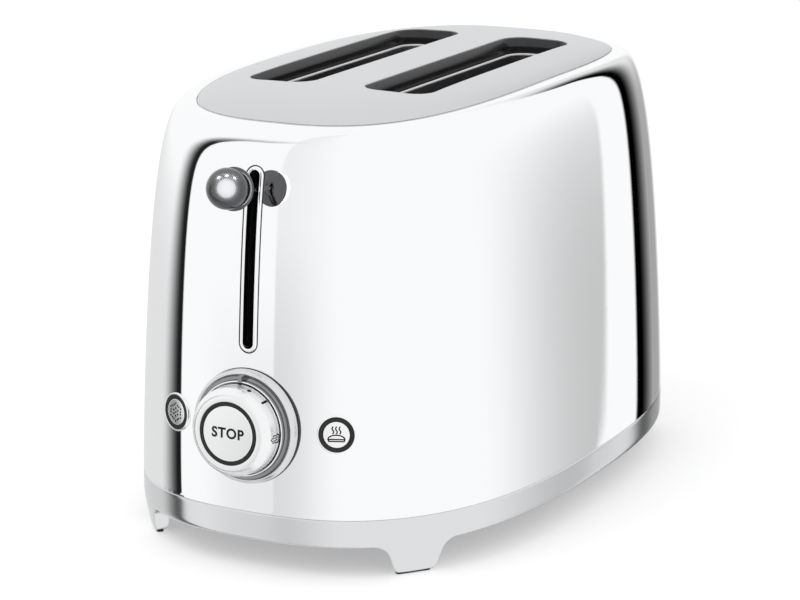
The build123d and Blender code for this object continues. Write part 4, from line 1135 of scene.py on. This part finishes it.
class TOASTER_OT_lever(bpy.types.Operator):
    """Build the lever's ball, its stem and the rim round its slot"""

    bl_idname = "toaster.lever"
    bl_label = "Lever"

    def execute(self, context):
        body, controls = body_sizes(), control_sizes()
        tilt = controls.lever_tilt
        placement = Matrix.Translation((0, controls.ball_y, controls.ball_z))
        placement = placement @ Matrix.Rotation(QUARTER - tilt, 4, "X")
        radius, back = controls.ball_radius, controls.collar_back
        flare, stem = controls.collar_radius, controls.stem_radius
        neck = QUARTER + 0.42
        turns = [neck * step / 48 for step in range(49)]
        ball = [(radius * math.sin(turn), radius * math.cos(turn)) for turn in turns]
        ball.append((0.0, radius * math.cos(neck)))
        waist = radius * math.sin(neck) - 0.0005
        collar = [(0.0, -back + 0.0020), (waist, -back + 0.0020), (waist, -back + 0.0013)]
        collar += [(flare, -back + 0.0010, SOFT_EDGE), (flare, -back, SOFT_EDGE)]
        collar += [(stem + 0.0022, -radius + 0.0002, 0.0012), (stem, -radius - 0.0006, 0.0)]
        collar = rounded(collar + [(0.0, -radius - 0.0006)], 5)
        ride = "carriage", "plated_trim", "lever_ball"
        # The collar's dark finish is painted shade for its mirror image in the knob.
        turned("lever_collar_dark_painted_shade", "collar", *ride, collar, placement, 96, 40.0, False)
        # The ball's darkness is a painted reflection of dark surroundings; its glow and sparks come
        # from lamps.
        turned("lever_ball_painted_dark_reflection", "ball", *ride, ball, placement, 96, 40.0, False)
        reach = (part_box("lever_stem")[1].y - controls.ball_y) / math.cos(tilt)
        rod = [(0.0, -reach), (stem, -reach, FINE_EDGE), (stem, -radius + 0.0005)]
        rod = rounded(rod + [(0.0, -radius + 0.0005)], 3)
        turned("lever_stem_plated", "trim", "carriage", "steel", "lever_stem", rod, placement, 48)
        self.bezel(body, controls)
        return {"FINISHED"}

    @staticmethod
    def bezel(body, controls):
        """Plated rim that follows the shell round the lever's slot, and a thin dark ring along its
        outer edge.
        """
        low = controls.slot_low + controls.slot_half
        high = controls.slot_high - controls.slot_half
        half = controls.slot_half
        stations = [(low, math.pi + math.pi * step / 40) for step in range(41)]
        stations += [(low + (high - low) * step / 40, 0.0) for step in range(1, 40)]
        stations += [(high, math.pi * step / 40) for step in range(41)]
        stations += [(high + (low - high) * step / 40, math.pi) for step in range(1, 40)]
        stations.append(stations[0])
        lip, proud = controls.bezel_lip, controls.bezel_proud
        rim = [(0.0, -0.0025), (0.0, proud, 0.0005), (lip * 0.62, proud, 0.0005)]
        rim = rounded(rim + [(lip, -0.0001, SOFT_EDGE), (lip, -0.0012)], 5)
        # Thin dark ring along the rim's outer edge, where it meets the shell.
        inner, outer, deep, top = lip - FINE_EDGE, lip + 0.00028, -0.001, 0.00012
        dark_edge_ring = [(inner, deep), (outer, deep), (outer, top), (inner, top)]
        for name, look, section in (
            ("lever_slot_rim", "trim", rim),
            ("lever_slot_dark_edge_ring", "ring", dark_edge_ring),
        ):
            section = section + section[:1]

            def place(column, row):
                z, turn = stations[column]
                out, height = section[row]
                across = (half + out) * math.cos(turn)
                up = z + (half + out) * math.sin(turn)
                point = Vector((across, shell_front(body, across, up), up))
                return point + shell_normal(body, point) * height

            piece = make_object(mapped_grid(len(stations) - 1, len(section) - 1, place), name)
            dress(piece, finish(look), "housing", "plated_trim", ["lever_slot_bezel"], 40.0)


class TOASTER_OT_knob(bpy.types.Operator):
    """Build the browning knob, its dark ring, its button and the dish behind it"""

    bl_idname = "toaster.knob"
    bl_label = "Browning knob"

    def execute(self, context):
        controls = control_sizes()
        placement = control_matrix(0.0, controls.control_height)
        radius, face, back = controls.knob_radius, controls.knob_face, controls.knob_back
        ring, floor = controls.ring_radius, controls.knob_floor
        bevel, wall = controls.knob_bevel, controls.knob_wall
        bore, shaft, end = controls.shaft_bore, controls.shaft_radius, floor - controls.shaft_length
        knob = [(radius, back, EDGE), (radius - KNOB_TAPER, face - bevel, 0.0012)]
        knob += [(radius - bevel, face, 0.0030), (ring, face, FINE_EDGE)]
        knob += [(ring, floor), (bore, floor), (bore, end), (shaft, end), (shaft, floor - wall)]
        knob += [(radius - wall, floor - wall, 0.0005), (radius - wall, back, FINE_EDGE)]
        ride = "knob", "satin_knob", "browning_knob"
        turned("browning_knob_satin", "satin_knob", *ride, rounded(knob, 7), placement, 160, 50.0)
        inner, proud = ring - controls.ring_width, face + 0.00006
        band = [(ring, floor), (ring, proud, 0.00015), (inner, proud, 0.00015), (inner, floor)]
        ride = "knob", "dark_ring", "knob_ring"
        turned("knob_ring_dark", "ring", *ride, rounded(band, 3), placement, 128)
        cap, top, stem = inner - 0.0002, face + 0.00012, 0.0024
        low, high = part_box("stop_button")
        tip = top - (high.y - low.y) + 0.0006
        button = [(0.0, top), (cap, top, SOFT_EDGE), (cap, top - 0.0024, FINE_EDGE)]
        button += [(stem, top - 0.0024, EDGE), (stem, tip), (0.0, tip)]
        ride = "stop_button", "satin_knob", "stop_button"
        turned("stop_button_satin", "satin_knob", *ride, rounded(button, 5), placement, 128)
        self.dish(controls, placement)
        return {"FINISHED"}

    @staticmethod
    def dish(controls, placement):
        """Plated dish between the shell and the knob, with a grey cove of painted shade and a thin
        dark ring of painted shadow round its edge.
        """
        outer, bore = controls.dish_radius, controls.dish_bore
        seat = controls.knob_back - 0.0006
        lip = controls.knob_radius + 0.00035
        side = outer - 0.0001
        band = [(bore, -0.004), (outer - 0.0006, -0.004), (outer - 0.0006, 0.0)]
        band += [(side, 0.0, 0.0001), (side, 0.0014, 0.0006), (outer - 0.0006, 0.0030, 0.0012)]
        band += [(outer - 0.0022, 0.0042, 0.0006), (outer - 0.0024, 0.0030), (bore, 0.0030)]
        # Painted shadow: a thin dark ring round the dish's outer edge where it meets the shell.
        inner, rim, deep = outer - 0.0008, outer + 0.0001, -0.003
        painted_shadow_ring = [(inner, deep), (rim, deep), (rim, 0.0), (inner, 0.0)]
        # Painted shade: the cove is grey metal in place of plating that mirrors the knob's shaded
        # side.
        cove = [(bore, 0.0029), (outer - 0.0023, 0.0029), (outer - 0.0023, 0.0041, 0.0001)]
        cove += [(outer - 0.0034, 0.0031, 0.0016), (lip + 0.0006, 0.0040, 0.0012)]
        cove += [(lip + 0.0005, 0.0060, 0.0001), (lip + 0.0001, 0.0060)]
        cove += [(lip + 0.0001, seat - 0.0008), (bore, seat - 0.0008)]
        far, low, high = lip + 0.0006, 0.0050, 0.0064
        edge = [(lip, low), (far, low), (far, high, 0.00025), (lip, high, 0.00025)]
        start, end = lip, outer - 0.0021
        bar = prism(slot_outline(0.00095, (end - start) / 2, 0.0003, 3), 0.0035, 0.0066)
        bmesh.ops.translate(bar, verts=bar.verts, vec=(0, (end + start) / 2, 0))
        bmesh.ops.transform(bar, matrix=placement, verts=bar.verts)
        parts = (
            (lathe(rounded(band, 6), 160, placement), "knob_dish_plated", "dish"),
            (lathe(painted_shadow_ring, 160, placement), "knob_dish_painted_shadow_line", "ring"),
            (lathe(rounded(cove, 6), 160, placement), "knob_dish_cove_painted_shade", "cove"),
            (lathe(rounded(edge, 4), 160, placement), "knob_dish_lip", "trim"),
            (bar, "knob_index_bar", "cove"),
        )
        for mesh, name, look in parts:
            piece = make_object(mesh, name)
            dress(piece, finish(look), "housing", "plated_trim", ["knob_bezel"], 40.0)


class TOASTER_OT_side_buttons(bpy.types.Operator):
    """Build the two side buttons with their dark rings and plated rims"""

    bl_idname = "toaster.side_buttons"
    bl_label = "Side buttons"

    def execute(self, context):
        controls = control_sizes()
        radius, ring, rim = controls.button_radius, controls.button_ring, controls.button_rim
        proud, depth = controls.button_proud, controls.button_depth
        stem, inner, bottom = 0.002, radius + 0.00012, -0.0010
        for name, side in BUTTONS.items():
            placement = button_matrix(controls, side)
            cap = [(0.0, proud), (radius, proud, SOFT_EDGE), (radius, -depth, FINE_EDGE)]
            cap += [(stem, -depth, EDGE), (stem, -depth - 0.009), (0.0, -depth - 0.009)]
            collar = [(inner, -depth), (inner, proud, 0.00015), (ring, proud, EDGE), (ring, -depth)]
            edge = [(ring, bottom), (ring, proud + 0.0001, EDGE)]
            edge += [(rim, proud - 0.0001, 0.0005), (rim, bottom)]
            for part, made, look, body, slot, profile, steps in (
                ("button", "satin", "satin_knob", f"{name}_button", "satin_knob", cap, 5),
                ("ring", "dark", "ring", "housing", "dark_ring", collar, 4),
                ("rim", "plated", "trim", "housing", "plated_trim", edge, 5),
            ):
                node = f"{name}_{part}"
                profile = rounded(profile, steps)
                turned(f"{node}_{made}", look, body, slot, node, profile, placement)
        return {"FINISHED"}


class TOASTER_OT_signs(bpy.types.Operator):
    """Print the word, the dial marks and the pictograms"""

    bl_idname = "toaster.signs"
    bl_label = "Printed signs"

    def execute(self, context):
        controls = control_sizes()
        placement = control_matrix(0.0, controls.control_height)
        face = controls.knob_face + 0.00014
        word = text_mesh("STOP", 0.0061, 0.00004, 1.10, 0.00019)
        bmesh.ops.translate(word, verts=word.verts, vec=(0, 0, face))
        bmesh.ops.transform(word, matrix=placement, verts=word.verts)
        dress(make_object(word, "stop_word"), finish("ink"), "stop_button", None, (), None)
        wedge = [(-0.0007, 0.0004), (0.0, -0.0005), (0.0007, 0.0004)]
        marks = (
            ("mark_start", strokes([[(-0.0003, 0), (0.0003, 0)]], 0.0004), 11.0, 0.0102),
            ("mark_dot", strokes([[(-0.0001, 0), (0.0001, 0)]], 0.0017), 20.0, 0.0100),
            ("mark_one", text_mesh("1", 0.0050, 0.00008, 1.0, 0.00028), 44.0, 0.0092),
            ("mark_toast", strokes(toast_sign(0.0020), 0.00045), 93.0, 0.0092),
            ("mark_wedge", strokes([wedge], 0.0004), 93.0, 0.0122),
        )
        for name, mesh, turn, level in marks:
            self.wrap(controls, mesh, math.radians(turn), level)
            bmesh.ops.transform(mesh, matrix=placement, verts=mesh.verts)
            dress(make_object(mesh, name), finish("ink"), "knob", None, (), None)
        proud = controls.button_proud + 0.00002
        drawn = {"defrost": (snow_sign(0.0039), 0.00082), "bun": (bun_sign(0.0036), 0.00055)}
        for name, side in BUTTONS.items():
            sign = strokes(*drawn[name])
            bmesh.ops.translate(sign, verts=sign.verts, vec=(0, 0, proud))
            bmesh.ops.transform(sign, matrix=button_matrix(controls, side), verts=sign.verts)
            piece = make_object(sign, f"{name}_sign")
            dress(piece, finish("ink"), f"{name}_button", None, (), None)
        return {"FINISHED"}

    @staticmethod
    def wrap(controls, mesh, turn, level):
        """Lays a flat sign round the knob's skirt with its top towards the toaster."""
        slope = KNOB_TAPER / (controls.knob_face - controls.knob_bevel - controls.knob_back)
        for vert in mesh.verts:
            up = level - vert.co.y
            radius = controls.knob_radius - slope * (up - controls.knob_back) + SIGN_GAP
            radius += vert.co.z
            swing = turn + vert.co.x / controls.knob_radius
            vert.co = (radius * math.sin(swing), radius * math.cos(swing), up)


def strokes(paths, width, thickness=0.00008):
    """Thin flat lines with rounded ends along paths in the XY plane."""
    whole = bmesh.new()
    for path in paths:
        for start, end in zip(path, path[1:]):
            first, last = Vector(start), Vector(end)
            along = (last - first).normalized()
            side = Vector((-along.y, along.x))
            points = []
            for centre, begin in ((last, -QUARTER), (first, QUARTER)):
                for step in range(7):
                    turn = begin + math.pi * step / 6
                    ray = along * math.cos(turn) + side * math.sin(turn)
                    points.append(tuple(centre + ray * width / 2))
            join_mesh(whole, prism(points, -thickness / 2, thickness / 2))
    return whole


def snow_sign(radius):
    """Six dotted arms with side dots."""
    paths = []
    for arm in range(6):
        turn = math.pi / 3 * arm + math.pi / 6
        along = Vector((math.cos(turn), math.sin(turn)))
        side = Vector((-along.y, along.x))
        spots = [along * radius * share for share in (0.42, 1.0)]
        spots += [along * radius * 0.80 + side * radius * 0.30 * sign for sign in (-1, 1)]
        for spot in spots:
            paths.append([tuple(spot - along * DOT), tuple(spot + along * DOT)])
    paths.append([(-DOT, 0.0), (DOT, 0.0)])
    return paths


def bun_sign(radius):
    """Bun on a low plate with three waves of steam over it."""
    turns = [math.pi * k / 12 for k in range(13)]
    dome = [(radius * math.cos(t), radius * (0.50 * math.sin(t) - 0.52)) for t in turns]
    left, right = (-radius, -0.54 * radius), (radius, -0.54 * radius)
    plate = [left, (-0.9 * radius, -0.78 * radius), (0.9 * radius, -0.78 * radius), right]
    paths = [dome, plate, [left, right]]
    for shift in (-0.42, 0.0, 0.42):
        waves = [(shift + 0.10 * math.sin(math.pi * k / 4), 0.16 + 0.80 * k / 8) for k in range(9)]
        paths.append([(radius * x, radius * y) for x, y in waves])
    return paths


def toast_sign(radius):
    """Slice of toast with two waves on it."""
    side = [(0.8, -1.0), (0.8, 0.35), (1.0, 0.7), (0.6, 1.0)]
    outline = [(-0.8, -1.0)] + side + [(-x, y) for x, y in reversed(side)]
    paths = [[(radius * x, radius * y) for x, y in outline]]
    for shift in (-0.3, 0.3):
        waves = [(shift + 0.12 * math.sin(math.pi * k / 3), 1.1 * k / 6 - 0.6) for k in range(7)]
        paths.append([(radius * x, radius * y) for x, y in waves])
    return paths


def text_mesh(body, size, thickness, spacing=1.0, weight=0.0):
    """Centred words as a thin flat mesh."""
    curve = bpy.data.curves.new("words", "FONT")
    curve.body = body
    curve.size = size
    curve.space_character = spacing
    curve.align_x = "CENTER"
    curve.align_y = "CENTER"
    curve.extrude = thickness / 2
    curve.offset = weight
    curve.resolution_u = 6
    carrier = bpy.data.objects.new("words", curve)
    bpy.context.scene.collection.objects.link(carrier)
    data = evaluated_mesh(carrier)
    mesh = bmesh.new()
    mesh.from_mesh(data)
    bpy.data.objects.remove(carrier)
    bpy.data.curves.remove(curve)
    bpy.data.meshes.remove(data)
    return mesh


NODE_FINISHES = {
    "satin_band": ["tray_handle"],
    "black": ["base_pan", "lever_guard", "control_frame", "rotary_switch", "press_switches"],
    "rubber": ["cord_grommet"],
    "pale": ["terminal_block"],
    "board": ["control_board"],
    "winding": ["magnet_coil"],
    "steel": [
        "crumb_tray",
        "front_end_plate",
        "rear_end_plate",
        "guide_pivots",
        "carriage_bracket",
        "latch_armature",
        "magnet_core",
        "guide_rods",
        "lift_springs",
        "reflector_left",
        "reflector_right",
        "bread_rack_left",
        "bread_rack_right",
        "base_screws",
    ]
    + [f"bread_guide_{number}" for number in range(1, 5)],
    "mica": [f"heater_board_{number}" for number in range(1, 5)],
    "ribbon": [f"heater_ribbon_{number}" for number in range(1, 5)],
}


class TOASTER_OT_inner_works(bpy.types.Operator):
    """Give the carried-over inner works their finishes"""

    bl_idname = "toaster.inner_works"
    bl_label = "Inner works"

    def execute(self, context):
        for name, nodes in NODE_FINISHES.items():
            for node in nodes:
                piece = frame["nodes"].get(node)
                if piece is None:
                    continue
                piece.data.materials.clear()
                piece.data.materials.append(finish(name))
        return {"FINISHED"}


def number_node(tree, operation, first, second=0.0, third=None):
    """Math node on sockets or numbers."""
    node = tree.nodes.new("ShaderNodeMath")
    node.operation = operation
    for socket, value in zip(node.inputs, (first, second, third)):
        if value is None:
            continue
        if isinstance(value, bpy.types.NodeSocket):
            tree.links.new(value, socket)
        else:
            socket.default_value = value
    return node.outputs[0]


def eased(tree, value, low, high):
    """Rises smoothly from nought to one between two numbers."""
    node = tree.nodes.new("ShaderNodeMapRange")
    node.interpolation_type = "SMOOTHSTEP"
    for socket, item in zip(node.inputs[:5], (value, low, high, 0.0, 1.0)):
        if isinstance(item, bpy.types.NodeSocket):
            tree.links.new(item, socket)
        else:
            socket.default_value = item
    return node.outputs[0]


def aimed(name, data, place, direction):
    """Object for a camera or a lamp, turned to look along a direction."""
    made = bpy.data.objects.new(name, data)
    bpy.context.scene.collection.objects.link(made)
    made.location = place
    made.rotation_mode = "QUATERNION"
    made.rotation_quaternion = direction.to_track_quat("-Z", "Y")
    return made


def area_lamp(name, shape, size, power, place, target):
    """Area lamp at a place, turned to a target."""
    lamp = bpy.data.lights.new(name, "AREA")
    lamp.shape = shape
    lamp.size, lamp.size_y = size
    lamp.energy = power
    return aimed(name, lamp, place, Vector(target) - Vector(place))


class TOASTER_OT_stage(bpy.types.Operator):
    """Set the floor, the camera, the lamps and the white surroundings"""

    bl_idname = "toaster.stage"
    bl_label = "Studio"

    def execute(self, context):
        studio = context.scene.toaster_studio
        self.camera(context, studio)
        self.floor(context, studio)
        self.lamps(context, studio)
        self.surroundings(context, studio)
        return {"FINISHED"}

    @staticmethod
    def camera(context, studio):
        """Camera that looks at the toaster from the photo's place."""
        level = math.cos(studio.elevation)
        across, along = math.sin(studio.azimuth) * level, -math.cos(studio.azimuth) * level
        back = Vector((across, along, math.sin(studio.elevation)))
        data = bpy.data.cameras.new("camera")
        data.lens = studio.lens
        data.sensor_width = 36.0
        data.shift_x, data.shift_y = studio.shift_x, studio.shift_y
        data.clip_start, data.clip_end = 0.05, 60.0
        place = Vector((0, 0, studio.target_height)) + back * studio.distance
        context.scene.camera = aimed("camera", data, place, -back)

    @staticmethod
    def floor(context, studio):
        """Floor that fades into white for the camera."""
        mesh = bmesh.new()
        bmesh.ops.create_grid(mesh, x_segments=1, y_segments=1, size=studio.floor_size / 2)
        floor = make_object(mesh, "floor")
        floor.visible_glossy = False
        material, tree, shader = shader_tree("studio_floor")
        shader.inputs["Base Color"].default_value = (0.74, 0.74, 0.745, 1.0)
        shader.inputs["Roughness"].default_value = 0.9
        shader.inputs["Specular IOR Level"].default_value = 0.0
        seen = tree.nodes.new("ShaderNodeLightPath").outputs["Is Camera Ray"]
        glow = add(tree, "ShaderNodeEmission", Color=(1, 1, 1, 1))
        tree.links.new(number_node(tree, "MULTIPLY", seen, studio.glow), glow.inputs["Strength"])
        lit, glowing = shader.outputs["BSDF"], glow.outputs["Emission"]
        both = add(tree, "ShaderNodeAddShader", i0=lit, i1=glowing)
        tree.links.new(both.outputs["Shader"], tree.nodes["Material Output"].inputs["Surface"])
        floor.data.materials.append(material)

    @staticmethod
    def lamps(context, studio):
        """Key lamp over the toaster and four lamps that only the ball sees."""
        lit = bpy.data.collections.new("lit_ball")
        lit.objects.link(bpy.data.objects["lever_ball_painted_dark_reflection"])
        key = area_lamp("key", "DISK", (1.4, 1.4), studio.key, (-0.5, -1.0, 1.9), (0, 0, 0.08))
        key.visible_glossy = False
        for name, place, size, power in BALL_LAMPS:
            card = area_lamp(name, "ELLIPSE", size, power, place, (0, -0.168, 0.169))
            card.visible_camera = False
            card.light_linking.receiver_collection = lit

    @staticmethod
    def surroundings(context, studio):
        """White surroundings; mirrors also see two black flags and faint grey shades."""
        world = bpy.data.worlds.new("surroundings")
        context.scene.world = world
        world.use_nodes = True
        tree = world.node_tree
        backdrop = tree.nodes["Background"]
        place = tree.nodes.new("ShaderNodeTexCoord").outputs["Generated"]
        x, y, z = add(tree, "ShaderNodeSeparateXYZ", Vector=place).outputs[:3]
        to_degrees = 180 / math.pi
        backward = number_node(tree, "MULTIPLY", y, -1.0)
        turn = number_node(tree, "MULTIPLY", number_node(tree, "ARCTAN2", x, backward), to_degrees)
        rise = number_node(tree, "MULTIPLY", number_node(tree, "ARCSINE", z), to_degrees)
        shades = [shade(tree, turn, rise) for shade in (left_flag, right_flag, soft_shades)]
        white = product(tree, *shades)
        path = tree.nodes.new("ShaderNodeLightPath")
        mirrored, passed = path.outputs["Is Glossy Ray"], path.outputs["Is Transmission Ray"]
        shiny = number_node(tree, "MAXIMUM", mirrored, passed)
        camera = path.outputs["Is Camera Ray"]
        matt = number_node(tree, "MULTIPLY_ADD", camera, 1.0 - studio.sky, studio.sky)
        mixed = add(tree, "ShaderNodeMix", Factor=shiny, A=matt, B=white)
        tree.links.new(mixed.outputs[0], backdrop.inputs["Strength"])
        backdrop.inputs["Color"].default_value = (1, 1, 1, 1)


BALL_LAMPS = (
    ("glow", (0.125, -0.41, 0.24), (0.74, 0.74), 14.0),
    ("spark_left", (-0.249, -0.311, 0.578), (0.12, 0.12), 1.5),
    ("spark_middle", (0.008, -0.183, 0.669), (0.12, 0.12), 1.5),
    ("spark_right", (0.261, -0.049, 0.578), (0.12, 0.12), 1.5),
)


def product(tree, first, *others):
    """Numbers multiplied one after the other."""
    for other in others:
        first = number_node(tree, "MULTIPLY", first, other)
    return first


def inverse(tree, value):
    """One less a number."""
    return number_node(tree, "SUBTRACT", 1.0, value)


def falling(tree, value, low, high):
    """Falls smoothly from one to nought between two numbers."""
    return inverse(tree, eased(tree, value, low, high))


def left_flag(tree, turn, rise):
    """Black flag left of the camera: a sharp curved edge and a soft far side."""
    bent = product(tree, rise, rise, 0.02)
    edge = number_node(tree, "ADD", number_node(tree, "MULTIPLY_ADD", rise, 0.35, -66.2), bent)
    depth = number_node(tree, "SUBTRACT", edge, turn)
    width = number_node(tree, "MULTIPLY_ADD", rise, -0.35, 21.0)
    width = number_node(tree, "MAXIMUM", width, 15.0)
    near, far = eased(tree, depth, -0.8, 0.8), falling(tree, depth, 3.0, width)
    black = product(tree, near, far, falling(tree, rise, 18.0, 46.0))
    return number_node(tree, "MULTIPLY_ADD", black, -0.985, 1.0)


def right_flag(tree, turn, rise):
    """Black flag behind the right: sharp on its near side and grey beyond."""
    lap = product(tree, number_node(tree, "LESS_THAN", turn, 0.0), 360.0)
    around = number_node(tree, "ADD", turn, lap)
    cubed = number_node(tree, "POWER", number_node(tree, "MAXIMUM", rise, 0.0), 3.0)
    edge = number_node(tree, "MULTIPLY_ADD", cubed, 0.00035, 165.3)
    depth = number_node(tree, "SUBTRACT", around, edge)
    near, beyond = eased(tree, depth, -0.8, 0.8), falling(tree, depth, 22.0, 30.0)
    grey = number_node(tree, "MULTIPLY_ADD", eased(tree, rise, -8.0, 9.0), 0.3, 0.5)
    level = product(tree, grey, eased(tree, depth, 3.0, 18.0))
    black = product(tree, near, beyond, falling(tree, rise, 24.0, 35.0))
    return inverse(tree, product(tree, black, inverse(tree, level)))


def soft_shades(tree, turn, rise):
    """Faint grey passages in the white surroundings."""
    low = falling(tree, rise, -12.0, 1.0)
    corner = -23.6, -22.2
    amount = number_node(tree, "MULTIPLY_ADD", low, 0.16, 0.10)
    start = eased(tree, turn, *corner)
    front = product(tree, start, falling(tree, turn, -24.0, 20.0), amount)
    rising, ending = eased(tree, turn, 112.0, 162.0), falling(tree, turn, 155.2, 156.2)
    long_side = product(tree, rising, ending, falling(tree, rise, -12.0, 11.0), 0.44)
    patch = product(tree, eased(tree, turn, -50.0, -26.0), falling(tree, rise, -15.0, -5.0))
    patch = product(tree, patch, falling(tree, turn, *corner))
    both = number_node(tree, "MULTIPLY_ADD", patch, 0.16, long_side)
    both = number_node(tree, "ADD", front, both)
    left = product(tree, falling(tree, turn, -69.0, -66.0), low, 0.22)
    return inverse(tree, number_node(tree, "ADD", both, left))


class TOASTER_PT_panel(bpy.types.Panel):
    """Buttons that build the toaster piece by piece"""

    bl_idname = "TOASTER_PT_panel"
    bl_label = "Toaster"
    bl_space_type = "VIEW_3D"
    bl_region_type = "UI"
    bl_category = "Toaster"

    def draw(self, context):
        for operator in OPERATORS:
            self.layout.operator(operator.bl_idname)


GROUPS = {
    "toaster_body": ToasterBodySizes,
    "toaster_controls": ToasterControlSizes,
    "toaster_finishes": ToasterFinishes,
    "toaster_studio": ToasterStudio,
}
OPERATORS = (
    TOASTER_OT_shell,
    TOASTER_OT_top_plate,
    TOASTER_OT_slots,
    TOASTER_OT_base,
    TOASTER_OT_lever,
    TOASTER_OT_knob,
    TOASTER_OT_side_buttons,
    TOASTER_OT_signs,
    TOASTER_OT_inner_works,
    TOASTER_OT_stage,
)


def register():
    for item in (*GROUPS.values(), *OPERATORS, TOASTER_PT_panel):
        bpy.utils.register_class(item)
    for name, group in GROUPS.items():
        setattr(bpy.types.Scene, name, PointerProperty(type=group))


def unregister():
    for name in GROUPS:
        delattr(bpy.types.Scene, name)
    for item in reversed((*GROUPS.values(), *OPERATORS, TOASTER_PT_panel)):
        bpy.utils.unregister_class(item)


def main():
    """Builds every piece in order."""
    register()
    bpy.context.scene.view_settings.view_transform = "Standard"
    for operator in OPERATORS:
        family, name = operator.bl_idname.split(".")
        getattr(getattr(bpy.ops, family), name)()


if __name__ == "__main__":
    main()
